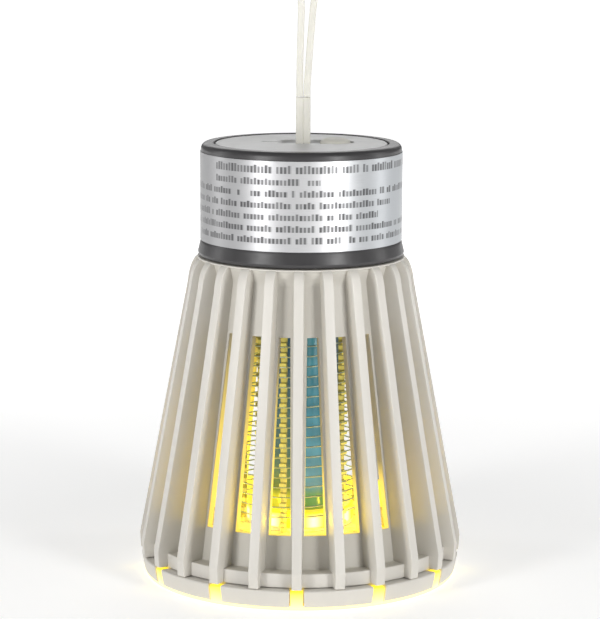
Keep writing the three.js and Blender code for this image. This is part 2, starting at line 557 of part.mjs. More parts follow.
// ---------------------------------------------------------------- lamp column
const cell = lathe([
  [0, CELL.bottom], [CELL.r - 0.4, CELL.bottom], [CELL.r, CELL.bottom + 0.6], [CELL.r, CELL.top - 2.0],
  [CELL.r - 0.8, CELL.top - 1.0], [CELL.button, CELL.top - 1.0], [CELL.button, CELL.top], [0, CELL.top],
], MIDDLE);
const tab = box(
  -TAB.halfWide, TAB.halfWide, -TAB.halfDeep, TAB.halfDeep, CELL.top + GAP, CELL.top + GAP + TAB.thick,
);
const spring = lathe([
  [0, SPRING.bottom], [SPRING.foot, SPRING.bottom], [SPRING.foot, SPRING.bottom + 0.8],
  [SPRING.waist, (SPRING.bottom + SPRING.top) / 2], [SPRING.tip, SPRING.top], [0, SPRING.top],
], SMALL);
add('battery_cell', cell, SLEEVE);
add('battery_tab', closed(tab), STEEL);
add('battery_spring', spring, STEEL);

const coreTube = join(
  tube(CORE.inner, CORE.outer, CORE.bottom, CORE.top, MIDDLE),
  tube((CORE.inner + CORE.outer) / 2, CORE.flange, CORE.flangeBottom, CORE.top, MIDDLE),
);
add('core_tube', coreTube, BLACK);
add('lamp_tube', tube(LAMP.inner, LAMP.outer, LAMP.bottom, LAMP.top, MIDDLE), BLUE_LAMP);

// Each strip is a narrow board that stands on the core tube, with a row of small ultraviolet LEDs.
function uvStrip() {
  const { bottom, top } = STRIP_SPAN;
  const { pitch, halfWide, halfHigh, face } = UV_LED;
  const plate = box(STRIP.inner, STRIP.outer, -STRIP.halfWide, STRIP.halfWide, bottom, top);
  const leds = Array.from({ length: Math.floor((top - bottom) / pitch) }, (_, i) => {
    const z = bottom + pitch * (i + 0.6);
    return box(STRIP.outer - 0.05, face, -halfWide, halfWide, z - halfHigh, z + halfHigh);
  });
  return join(plate, ...leds);
}

around(STRIP.count, STRIP.phase).forEach((a, i) => {
  add(`uv_led_strip_${i + 1}`, uvStrip(), BOARD_WHITE).rotation.z = a;
});

// ---------------------------------------------------------------- high-voltage grid
function gridFrame() {
  const ring = tube(GRID_RING.inner, GRID_RING.outer, GRID_RING.bottom, GRID_RING.top, MIDDLE);
  const posts = postAngles.map((a) => rod(
    POST.r, ...polar(POST.at, a), GRID_FOOT.top - 0.5, GRID_RING.bottom + 0.5, 8,
  ));
  const foot = lathe([
    [0, GRID_FOOT.bottom], [GRID_FOOT.r - 0.8, GRID_FOOT.bottom], [GRID_FOOT.r, GRID_FOOT.bottom + 0.8],
    [GRID_FOOT.r, GRID_FOOT.top], [GRID_FOOT.hub, GRID_FOOT.top], [GRID_FOOT.hub, GRID_FOOT.hubTop],
    [0, GRID_FOOT.hubTop],
  ], MIDDLE);
  const leadHoles = leadAngles.map((a) => rod(
    LEAD.hole, ...polar(LEAD.at, a), GRID_RING.bottom - 1, GRID_RING.top + 1, 8,
  ));
  const screwHole = rod(FOOT_PILOT.r, 0, 0, GRID_FOOT.bottom - 1, FOOT_PILOT.top, 8);
  return cut(join(ring, ...posts, foot), ...leadHoles, screwHole);
}

class Winding extends THREE.Curve {
  constructor(radius, pitch, turns, bottom, phase) {
    super();
    Object.assign(this, { radius, pitch, turns, bottom, phase });
  }

  getPoint(t, target = new THREE.Vector3()) {
    const [x, y] = polar(this.radius, this.phase + TURN * this.turns * t);
    return target.set(x, y, this.bottom + this.pitch * this.turns * t);
  }

  getPointAt(t, target) {
    return this.getPoint(t, target);
  }
}

function electrode(start) {
  const winding = new Winding(GRID.r, 2 * GRID.gap, GRID.turns, GRID.bottom + start, POST.phase);
  return sweep(winding, GRID.wire / 2, 4, GRID.sides * GRID.turns);
}

add('grid_frame', gridFrame(), INSULATOR);
add('electrode_live', electrode(0), WIRE);
add('electrode_return', electrode(GRID.gap), WIRE);

// Each lead drops from the board through the chassis and the grid's upper ring to its electrode.
leadAngles.forEach((a, i) => {
  const heights = [BOARD.bottom - 0.4, 102, 96, 90, 84, LEAD.end];
  const route = new THREE.CatmullRomCurve3(points3(heights.map((z) => [...polar(LEAD.at, a), z])));
  add(`hv_lead_${i + 1}`, sweep(route, LEAD.r, 8, 10), i === 0 ? FOIL : BLACK);
});

// ---------------------------------------------------------------- lower lights
function glowBoard() {
  const ring = tube(GLOW.inner, GLOW.outer, GRID_FOOT.top + 0.1, GRID_FOOT.top + GLOW.board, MIDDLE);
  const middle = (GLOW.inner + GLOW.outer - GLOW.wall) / 2;
  const leds = around(GLOW.leds).map((a) => box(
    middle - 0.6, middle + 0.6, -1.1, 1.1, GRID_FOOT.top + 0.5, GRID_FOOT.top + 1.7,
  ).rotateZ(a));
  return join(ring, ...leds);
}

const collarBottom = GRID_FOOT.top + GLOW.board + GAP;
const glowCollar = lathe([
  [GLOW.inner, GLOW.top - 0.8], [GLOW.outer - GLOW.wall, GLOW.top - 0.8],
  [GLOW.outer - GLOW.wall, collarBottom], [GLOW.outer, collarBottom], [GLOW.outer, GLOW.top - 0.4],
  [GLOW.outer - 0.5, GLOW.top], [GLOW.inner, GLOW.top],
], FINE);
add('glow_led_board', glowBoard(), BOARD_WHITE);
add('glow_collar', glowCollar, YELLOW_GLOW);

function downlightBoard() {
  const top = GRID_FOOT.bottom - 0.1;
  const plate = disc(DOWNLIGHT.r, top - DOWNLIGHT.thick, top, MIDDLE);
  const leds = around(DOWNLIGHT.leds).map((a) => box(
    DOWNLIGHT.ring - 1.4, DOWNLIGHT.ring + 1.4, -1.4, 1.4, top - DOWNLIGHT.thick - 0.8, top - 0.5,
  ).rotateZ(a));
  return cut(join(plate, ...leds), rod(FOOT_SCREW.hole, 0, 0, top - 5, top + 5, 8));
}

add('downlight_board', downlightBoard(), BOARD_WHITE);
const footScrew = add('foot_screw', panScrew(FOOT_SCREW), STEEL);
footScrew.rotation.x = Math.PI;
footScrew.position.z = GRID_FOOT.bottom - DOWNLIGHT.thick - 0.2;

// ---------------------------------------------------------------- hanging strap
const { x: strapX, halfWide: strapHalf } = STRAP;
const stem = join(
  box(strapX - strapHalf, strapX + strapHalf, -STRAP.halfDeep, STRAP.halfDeep, STRAP.bottom, STRAP.top),
  box(strapX - STRAP_COLLAR.halfWide, strapX + STRAP_COLLAR.halfWide, -STRAP_COLLAR.halfDeep,
    STRAP_COLLAR.halfDeep, STRAP_COLLAR.bottom, COVER.top - COVER.thick - GAP),
);
const loopCurve = new THREE.CatmullRomCurve3(points3(LOOP_ROUTE));
add('strap_stem', stem, SILICONE);
add('hanging_loop', sweep(loopCurve, LOOP_DIAMETER / 2, 8, 32), SILICONE);

export default lamp;
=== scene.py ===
"""The looks of the hanging bug zapper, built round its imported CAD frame.

Lengths are millimetres until a mesh is made.
"""

import math

import bmesh
import bpy
import numpy as np
from mathutils import Matrix, Vector


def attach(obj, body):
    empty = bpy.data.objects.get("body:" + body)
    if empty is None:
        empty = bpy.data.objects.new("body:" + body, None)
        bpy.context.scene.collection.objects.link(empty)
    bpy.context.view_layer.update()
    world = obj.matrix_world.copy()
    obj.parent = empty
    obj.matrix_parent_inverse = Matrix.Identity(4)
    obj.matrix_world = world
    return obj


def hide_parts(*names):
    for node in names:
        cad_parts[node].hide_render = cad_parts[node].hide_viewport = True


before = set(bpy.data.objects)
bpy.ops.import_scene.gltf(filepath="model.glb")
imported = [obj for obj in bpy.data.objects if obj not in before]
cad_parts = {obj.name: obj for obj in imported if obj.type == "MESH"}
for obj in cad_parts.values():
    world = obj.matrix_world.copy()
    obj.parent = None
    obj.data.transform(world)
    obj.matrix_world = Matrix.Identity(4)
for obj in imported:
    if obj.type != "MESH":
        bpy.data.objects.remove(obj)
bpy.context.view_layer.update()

SCENE = bpy.context.scene
MM = 0.001
TURN = 2 * math.pi
FRONT = -math.pi / 2

# ------------------------------------------------------------------ driving sizes, as in the CAD model
FIN_COUNT = 24
FIN_STEP = TURN / FIN_COUNT
FIN_THICK = 2.7
FIN_TOP_Z = 89.6
SHOULDER_R, SHOULDER_Z = 31.32, 82.47
FOOT_R, FOOT_Z = 45.0, 10.6
FIN_BOTTOM_R, FIN_BOTTOM_Z = 44.7, 6.2
WALL_FOOT_R, WALL_TOP_R, WALL_TOP_Z = 38.0, 26.3, 88.0
CAGE_WALL = 1.8
WINDOW_BOTTOM, WINDOW_TOP, WINDOW_HALF_BOTTOM, WINDOW_HALF_TOP = 19.0, 71.4, 3.05, 1.6
DECK_R, DECK_BOTTOM, DECK_TOP, DECK_HOLE, DECK_LIP = 28.7, 87.6, 89.6, 17.3, 0.5
FLARE_BOTTOM, FLARE_TOP, FLARE_OUTER, FLARE_INNER = 85.5, 88.4, 27.6, 24.6
FLANGE_BOTTOM, FLANGE_TOP, FLANGE_R, SKIRT_R, SKIRT_BOTTOM = 8.4, 10.0, 42.0, 40.4, 6.2
LOCK_OUTER, LOCK_INNER, LEDGE_BOTTOM, LEDGE_THICK, LEDGE_DEPTH = 36.3, 34.6, 5.4, 1.2, 1.3
LEDGE_COUNT, LEDGE_ARC, STOP_ARC, STOP_HIGH, LUG_ARC, LUG_FROM = 3, 0.3, 0.06, 3.3, 0.24, 0.04
SPIGOT_OUTER, SPIGOT_INNER, SPIGOT_TOP = 25.3, 23.6, 92.8
HEAD_R, HEAD_FLARE, HEAD_BOTTOM, HEAD_TOP, HEAD_RIM, HEAD_WALL = 27.6, 28.5, 90.0, 120.85, 24.0, 2.0
LABEL_BOTTOM, LABEL_TOP, LABEL_R, LABEL_GAP = 94.3, 118.5, 27.65, math.radians(60)
ROW_TOP, ROW_PITCH, ROW_COUNT, LETTER = 117.5, 3.13, 7, 1.05  # rows of bars on the label
COVER_R, COVER_TOP, COVER_THICK = 23.7, 121.0, 1.6
STRAP_X = 0.45
BUTTON_X, BUTTON_R, BUTTON_TOP = 9.3, 4.2, 122.0
SLOT_X = -9.0
GRID_R, GRID_GAP, GRID_TURNS, GRID_BOTTOM, WIRE = 18.0, 2.8, 11, 15.4, 0.42
GRID_FOOT_BOTTOM, GRID_FOOT_TOP, GRID_RING_BOTTOM, GRID_RING_TOP = 12.2, 14.4, 84.4, 87.3
COLLAR_GLOW_R, COLLAR_GLOW_TOP = 15.0, 19.8
POST_COUNT, POST_AT, POST_PHASE, LEAD_AT = 6, 16.2, math.pi / 12, 16.0
LAMP_R, LAMP_INNER, LAMP_BOTTOM, LAMP_TOP = 11.0, 10.4, 15.4, 87.0
GRID_RING_INNER = 11.4
BASE_TOP, BASE_BOTTOM, BASE_R_TOP, BASE_R_BOTTOM = 5.9, 1.2, 44.5, 43.6
COLLAR_INNER, COLLAR_OUTER, COLLAR_TOP = 37.9, 39.3, 8.1
SEAL_INNER, SEAL_OUTER, SEAL_BOTTOM, SEAL_TOP = 39.4, 39.95, 6.0, 7.8
NOTCHES, NOTCH_WIDE, TOOTH_INNER, TOOTH_WIDE, TOOTH_TOP = 12, 3.9, 41.4, 3.3, 5.6
UV_STRIP_COUNT, UV_STRIP_ROUND, UV_LED_PITCH = 4, math.pi / 12, 7.5
GLOW_LED_COUNT, GLOW_LED_ROUND = 8, math.radians(16)
TRAY_R, TRAY_THICK, CUP_OUTER, CUP_INNER, CUP_RIM = 43.3, 1.0, 34.2, 33.2, 6.4
TRAY_GROOVES = (12, 18, 24, 30, 36)
SCREW_AT, SCREW_ANGLES = 40.8, [FRONT + FIN_STEP + TURN * i / 3 for i in range(3)]
SCREW_SPOTS = [(SCREW_AT * math.cos(a), SCREW_AT * math.sin(a)) for a in SCREW_ANGLES]
USB_Z, FLAP_OUTER, FLAP_WIDE, FLAP_HIGH, FLAP_THICK = 105.9, 27.9, 14.0, 8.4, 1.1

WALL_SLOPE = (WALL_FOOT_R - WALL_TOP_R) / (WALL_TOP_Z - FOOT_Z)


def wall_outer(z):
    return WALL_FOOT_R + WALL_SLOPE * (FOOT_Z - z)


def wall_inner(z):
    return wall_outer(z) - CAGE_WALL


# ------------------------------------------------------------------ outlines and meshes
def rounded(points, radius=0.4, steps=4):
    """A closed outline with round corners. A point's third value is its own radius."""
    out = []
    for i, point in enumerate(points):
        r = point[2] if len(point) > 2 else radius
        before, here, after = (Vector(p[:2]) for p in (points[i - 1], point, points[(i + 1) % len(points)]))
        u, v = before - here, after - here
        angle = u.angle(v)
        if r <= 0 or angle > math.radians(174):
            out.append(here)
            continue
        back = min(r / math.tan(angle / 2), 0.45 * u.length, 0.45 * v.length)
        r = back * math.tan(angle / 2)
        centre = here + (u.normalized() + v.normalized()).normalized() * (r / math.sin(angle / 2))
        start, end = here + u.normalized() * back - centre, here + v.normalized() * back - centre
        sweep_angle = start.angle(end)
        for k in range(steps + 1):
            t = k / steps
            spot = start * math.sin((1 - t) * sweep_angle) + end * math.sin(t * sweep_angle)
            out.append(centre + spot / math.sin(sweep_angle))
    return [(p.x, p.y) for p in out]


def lathe(profile, steps=192):
    """Turns a closed outline of (radius, z) round the Z axis. An outline from axis to axis is open there."""
    poles = abs(profile[0][0]) < 1e-6 and abs(profile[-1][0]) < 1e-6
    ring = profile[1:-1] if poles else profile
    angles = np.arange(steps) * TURN / steps
    r = np.array([p[0] for p in ring])
    z = np.array([p[1] for p in ring])
    grid = np.stack(
        [np.outer(np.cos(angles), r), np.outer(np.sin(angles), r), np.tile(z, (steps, 1))], axis=2
    )
    verts = [tuple(v) for v in grid.reshape(-1, 3)]
    n = len(ring)
    faces = []
    for i in range(steps):
        a, b = i * n, ((i + 1) % steps) * n
        for j in range(n - 1 if poles else n):
            k = (j + 1) % n
            faces.append((a + j, b + j, b + k, a + k))
    if poles:
        verts += [(0, 0, profile[0][1]), (0, 0, profile[-1][1])]
        for i in range(steps):
            a, b = i * n, ((i + 1) % steps) * n
            faces.append((b, a, steps * n))
            faces.append((a + n - 1, b + n - 1, steps * n + 1))
    return verts, faces


def plate(outline, thick, bevel=0.3, segments=3):
    """A flat plate in the XZ plane with bevelled edges, centred on y = 0."""
    bm = bmesh.new()
    face = bm.faces.new([bm.verts.new((x, -thick / 2, z)) for x, z in outline])
    grown = bmesh.ops.extrude_face_region(bm, geom=[face])
    moved = [v for v in grown["geom"] if isinstance(v, bmesh.types.BMVert)]
    bmesh.ops.translate(bm, verts=moved, vec=(0, thick, 0))
    if bevel:
        rims = [e for e in bm.edges if abs(e.verts[0].co.y - e.verts[1].co.y) < 1e-6]
        bmesh.ops.bevel(bm, geom=rims, offset=bevel, segments=segments, profile=0.5, affect="EDGES",
                        clamp_overlap=True)
    bmesh.ops.recalc_face_normals(bm, faces=bm.faces)
    return from_bmesh(bm)


def block(x0, x1, y0, y1, z0, z1, bevel=0.0, segments=2):
    bm = bmesh.new()
    bmesh.ops.create_cube(bm, size=1.0)
    for v in bm.verts:
        v.co = Vector((x0 if v.co.x < 0 else x1, y0 if v.co.y < 0 else y1, z0 if v.co.z < 0 else z1))
    if bevel:
        bmesh.ops.bevel(bm, geom=list(bm.edges), offset=bevel, segments=segments, profile=0.5, affect="EDGES")
    bmesh.ops.recalc_face_normals(bm, faces=bm.faces)
    return from_bmesh(bm)


def from_bmesh(bm):
    bm.verts.index_update()
    verts = [tuple(v.co) for v in bm.verts]
    faces = [tuple(v.index for v in f.verts) for f in bm.faces]
    bm.free()
    return verts, faces


def moved(data, matrix):
    verts, faces = data
    return [tuple(matrix @ Vector(v)) for v in verts], faces


def turned(data, angle):
    return moved(data, Matrix.Rotation(angle, 4, "Z"))


def shifted(data, x=0.0, y=0.0, z=0.0):
    return moved(data, Matrix.Translation((x, y, z)))


def together(*parts):
    verts, faces = [], []
    for v, f in parts:
        start = len(verts)
        verts += v
        faces += [tuple(i + start for i in face) for face in f]
    return verts, faces


def ring_of(data, angles):
    return together(*(turned(data, a) for a in angles))


def around(count, phase=0.0):
    return [phase + TURN * i / count for i in range(count)]


def rod(r, x, y, z0, z1, steps=48):
    return shifted(lathe([(0, z0), (r, z0), (r, z1), (0, z1)], steps), x, y)


def rods_at_screws(r, z0, z1):
    """One upright rod at each screw of the base."""
    return together(*(rod(r, x, y, z0, z1) for x, y in SCREW_SPOTS))


def sweep(path, section):
    """A closed tube along a path of points: the section's (x, y) points are carried without twist."""
    path = [Vector(p) for p in path]
    n, m = len(path), len(section)
    tangents = [(path[min(i + 1, n - 1)] - path[max(i - 1, 0)]).normalized() for i in range(n)]
    side = tangents[0].orthogonal().normalized()
    if abs(tangents[0].x) < 0.9:
        side = (Vector((1, 0, 0)) - tangents[0] * tangents[0].x).normalized()
    verts = []
    for point, tangent in zip(path, tangents):
        side = (side - tangent * side.dot(tangent)).normalized()
        up = tangent.cross(side)
        verts += [tuple(point + side * x + up * y) for x, y in section]
    faces = [
        (i * m + j, i * m + (j + 1) % m, (i + 1) * m + (j + 1) % m, (i + 1) * m + j)
        for i in range(n - 1) for j in range(m)
    ]
    faces.append(tuple(reversed(range(m))))
    faces.append(tuple((n - 1) * m + j for j in range(m)))
    return verts, faces


def circle(radius, sides):
    return [(radius * math.cos(TURN * i / sides), radius * math.sin(TURN * i / sides)) for i in range(sides)]


def slot_outline(x0, x1, r, steps=12):
    left = [(x0 + r * math.cos(a), r * math.sin(a)) for a in np.linspace(math.pi / 2, 1.5 * math.pi, steps)]
    right = [(x1 + r * math.cos(a), r * math.sin(a)) for a in np.linspace(-math.pi / 2, math.pi / 2, steps)]
    return right + left


def prism(outline, z0, z1, bevel=0.0):
    flat = plate(outline, z1 - z0, bevel)
    stand = Matrix(((1, 0, 0, 0), (0, 0, 1, 0), (0, -1, 0, (z0 + z1) / 2), (0, 0, 0, 1)))
    return moved(flat, stand)


def bent_bar(inner, outer, bottom, thick, start, span, steps=24):
    """A level bar bent round the axis from the angle start through span."""
    verts = []
    for i in range(steps + 1):
        a = start + span * i / steps
        for r, z in ((inner, bottom), (outer, bottom), (outer, bottom + thick), (inner, bottom + thick)):
            verts.append((r * math.cos(a), r * math.sin(a), z))
    faces = [
        (4 * i + j, 4 * i + (j + 1) % 4, 4 * i + 4 + (j + 1) % 4, 4 * i + 4 + j)
        for i in range(steps) for j in range(4)
    ]
    return verts, faces + [(3, 2, 1, 0), tuple(4 * steps + j for j in range(4))]


def new_object(name, data):
    mesh = bpy.data.meshes.new(name)
    verts, faces = data
    mesh.from_pydata([Vector(v) * MM for v in verts], [], faces)
    bm = bmesh.new()
    bm.from_mesh(mesh)
    bmesh.ops.recalc_face_normals(bm, faces=bm.faces)
    bm.to_mesh(mesh)
    bm.free()
    obj = bpy.data.objects.new(name, mesh)
    SCENE.collection.objects.link(obj)
    return obj


def settle(obj):
    """Replaces an object's mesh with the result of its modifiers."""
    depsgraph = bpy.context.evaluated_depsgraph_get()
    mesh = bpy.data.meshes.new_from_object(obj.evaluated_get(depsgraph))
    obj.modifiers.clear()
    old, obj.data = obj.data, mesh
    bpy.data.meshes.remove(old)


def combine(obj, operation, *tools):
    """Joins tools to an object, or cuts them from it. Each tool is mesh data whose parts don't overlap."""
    for data in tools:
        tool = new_object("tool", data)
        modifier = obj.modifiers.new("cut", "BOOLEAN")
        modifier.operation = operation
        modifier.solver = "MANIFOLD"
        modifier.object = tool
        settle(obj)
        bpy.data.objects.remove(tool)
    return obj


def piece(name, data, body, material, stands_for=(), sharp=32.0):
    """A finished piece: smooth-shaded, on its body, with its material and the CAD nodes that it replaces."""
    obj = data if isinstance(data, bpy.types.Object) else new_object(name, data)
    obj.name = name
    obj.data.materials.clear()
    obj.data.materials.append(material)
    obj.data.shade_smooth()
    obj.data.set_sharp_from_angle(angle=math.radians(sharp))
    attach(obj, body)
    if stands_for:
        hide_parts(*([stands_for] if isinstance(stands_for, str) else stands_for))
    return obj


# ------------------------------------------------------------------ materials
class Look:
    """A Principled material, with short ways to feed its sockets from procedural textures."""

    def __init__(self, name, color, roughness, metallic=0.0, **uniform):
        self.material = bpy.data.materials.new(name)
        self.material.use_nodes = True
        self.tree = self.material.node_tree
        self.shader = self.tree.nodes["Principled BSDF"]
        self.color = color
        self.set("Base Color", (*color, 1.0))
        self.set("Roughness", roughness)
        self.set("Metallic", metallic)
        for key, value in uniform.items():
            self.set(key.replace("_", " "), value)
        self.coordinate = self.node("ShaderNodeTexCoord").outputs["Object"]

    def set(self, socket, value):
        self.shader.inputs[socket].default_value = value

    def node(self, kind, **settings):
        made = self.tree.nodes.new(kind)
        for key, value in settings.items():
            setattr(made, key, value)
        return made

    def link(self, source, target):
        if isinstance(target, str):
            target = self.shader.inputs[target]
        self.tree.links.new(source, target)

    def feed(self, node, values):
        for index, value in values.items():
            if isinstance(value, bpy.types.NodeSocket):
                self.link(value, node.inputs[index])
            else:
                node.inputs[index].default_value = value

    def math(self, operation, a, b=0.0, c=0.0, clamp=False):
        made = self.node("ShaderNodeMath", operation=operation, use_clamp=clamp)
        self.feed(made, {0: a, 1: b, 2: c})
        return made.outputs[0]

    def stretched(self, scale):
        made = self.node("ShaderNodeMapping")
        self.link(self.coordinate, made.inputs["Vector"])
        made.inputs["Scale"].default_value = scale
        return made.outputs[0]

    def noise(self, per_mm, detail=2.0, roughness=0.5, vector=None):
        made = self.node("ShaderNodeTexNoise")
        self.link(vector or self.coordinate, made.inputs["Vector"])
        made.inputs["Scale"].default_value = per_mm / MM
        made.inputs["Detail"].default_value = detail
        made.inputs["Roughness"].default_value = roughness
        return made.outputs["Fac"]

    def span(self, value, low, high, out_low=0.0, out_high=1.0):
        made = self.node("ShaderNodeMapRange")
        self.feed(made, {0: value, 1: low, 2: high, 3: out_low, 4: out_high})
        return made.outputs[0]

    def spread(self, noise, low=0.0, high=1.0):
        """Noise, most of which lies between 0.3 and 0.7, spread from low to high."""
        return self.span(noise, 0.3, 0.7, low, high)

    def product(self, *factors):
        total = factors[0]
        for factor in factors[1:]:
            total = self.math("MULTIPLY", total, factor)
        return total

    def mix(self, share, a, b):
        made = self.node("ShaderNodeMix", data_type="RGBA")
        colors = [c if isinstance(c, bpy.types.NodeSocket) else (*c, 1.0) for c in (a, b)]
        self.feed(made, {0: share, 6: colors[0], 7: colors[1]})
        return made.outputs[2]

    def ramp(self, value, stops):
        made = self.node("ShaderNodeValToRGB")
        band = made.color_ramp
        band.elements[0].position, band.elements[0].color = stops[0][0], (*stops[0][1], 1.0)
        band.elements[1].position, band.elements[1].color = stops[-1][0], (*stops[-1][1], 1.0)
        for at, color in stops[1:-1]:
            band.elements.new(at).color = (*color, 1.0)
        self.link(value, made.inputs[0])
        return made.outputs[0]

    def bump(self, height, strength, distance_mm):
        made = self.node("ShaderNodeBump")
        made.inputs["Strength"].default_value = strength
        made.inputs["Distance"].default_value = distance_mm * MM
        self.link(height, made.inputs["Height"])
        self.link(made.outputs[0], "Normal")

    def axes(self):
        made = self.node("ShaderNodeSeparateXYZ")
        self.link(self.coordinate, made.inputs[0])
        return made.outputs[0], made.outputs[1], made.outputs[2]

    def off_axis(self, x, y):
        """Distance from the Z axis."""
        return self.math("SQRT", self.math("ADD", self.math("MULTIPLY", x, x), self.math("MULTIPLY", y, y)))

    def bearing(self, x, y, start=0.0):
        """Angle round the Z axis, from the front towards the right, less the angle start."""
        angle = self.math("ARCTAN2", x, self.math("MULTIPLY", y, -1.0))
        return self.math("SUBTRACT", angle, start) if start else angle

    def waves(self, phase, low=0.0, high=1.0):
        """A cosine of a phase that swings between low and high."""
        swing = (high - low) / 2
        return self.math("MULTIPLY_ADD", self.math("COSINE", phase), swing, low + swing)

    def tint(self, share, low=0.94, high=1.04):
        """Colour that drifts a little about the base colour."""
        dark = tuple(min(1.0, c * low) for c in self.color)
        light = tuple(min(1.0, c * high) for c in self.color)
        self.link(self.mix(share, dark, light), "Base Color")


def moulded(name, color, roughness, grain=6.0, depth=0.02, drift=0.05, **uniform):
    """Injection-moulded plastic or rubber: a fine spark-eroded grain, and slow drifts of colour and gloss."""
    look = Look(name, color, roughness, **uniform)
    slow = look.noise(0.05, 3.0)
    look.tint(look.span(slow, 0.35, 0.65), 1 - drift, 1 + drift)
    fine = look.noise(grain, 2.0, 0.6)
    worn = look.noise(0.25, 4.0, 0.65)
    look.link(look.spread(worn, roughness - 0.06, roughness + 0.07), "Roughness")
    look.bump(fine, 0.35, depth)
    return look.material


def drawn_metal(name, color, roughness):
    """Bare metal with fine lines round it, across Z."""
    look = Look(name, color, roughness, 1.0)
    lines = look.noise(1.2, 4.0, 0.7, look.stretched((1.0, 1.0, 12.0)))
    look.tint(look.spread(lines), 0.86, 1.05)
    look.link(look.spread(lines, roughness - 0.07, roughness + 0.1), "Roughness")
    look.bump(lines, 0.2, 0.01)
    return look.material


def cage_look():
    """Pale moulded plastic: flow marks, a fine grain, painted shade far in between the fins, and a painted
    yellow glow on its inner face.
    """
    look = Look("cage_shell", (0.635, 0.61, 0.56), 0.42, Specular_IOR_Level=0.45)
    slow = look.noise(0.03, 3.0)
    flow = look.noise(0.35, 5.0, 0.6, look.stretched((1.0, 1.0, 0.25)))
    drift = look.span(look.math("ADD", slow, look.math("MULTIPLY", flow, 0.35)), 0.5, 0.85)
    face = look.mix(drift, (0.613, 0.589, 0.541), (0.651, 0.625, 0.574))
    x, y, z = look.axes()
    out = look.off_axis(x, y)
    edge = look.span(z, FOOT_Z * MM, SHOULDER_Z * MM, FOOT_R * MM, SHOULDER_R * MM)
    # Painted shade: the base colour darkens further in from the fins' outer edges, towards the wall between
    # them, above the flange.
    painted_groove_shade = look.span(look.math("SUBTRACT", edge, out), 0.8 * MM, 6.5 * MM)
    painted_groove_shade = look.product(painted_groove_shade, look.math("GREATER_THAN", z, (FLANGE_TOP - 0.05) * MM))
    look.link(look.mix(painted_groove_shade, face, (0.535, 0.512, 0.457)), "Base Color")
    look.link(look.spread(flow, 0.37, 0.5), "Roughness")
    look.bump(look.noise(5.0, 3.0, 0.6), 0.3, 0.015)

    # Painted glow: emission on the inner face and the sides of the windows stands for the yellow light they
    # catch, and more of it on the left.
    wall = look.span(z, FOOT_Z * MM, WALL_TOP_Z * MM, WALL_FOOT_R * MM, WALL_TOP_R * MM)
    inside = look.span(look.math("SUBTRACT", wall, out), 0.1 * MM, 0.4 * MM)
    left, right = -8.0 * MM, 8.0 * MM
    reach = look.span(x, left, right, 74.0 * MM, 37.0 * MM)
    softness = look.span(x, left, right, 36.0 * MM, 6.0 * MM)
    painted_glow_fade = look.math("DIVIDE", look.math("SUBTRACT", reach, z), softness, clamp=True)
    above_foot = look.math("GREATER_THAN", z, (FLANGE_TOP + 1.0) * MM)
    look.set("Emission Color", (1.0, 0.72, 0.03, 1.0))
    look.link(look.product(inside, above_foot, painted_glow_fade, 0.7), "Emission Strength")
    return look.material


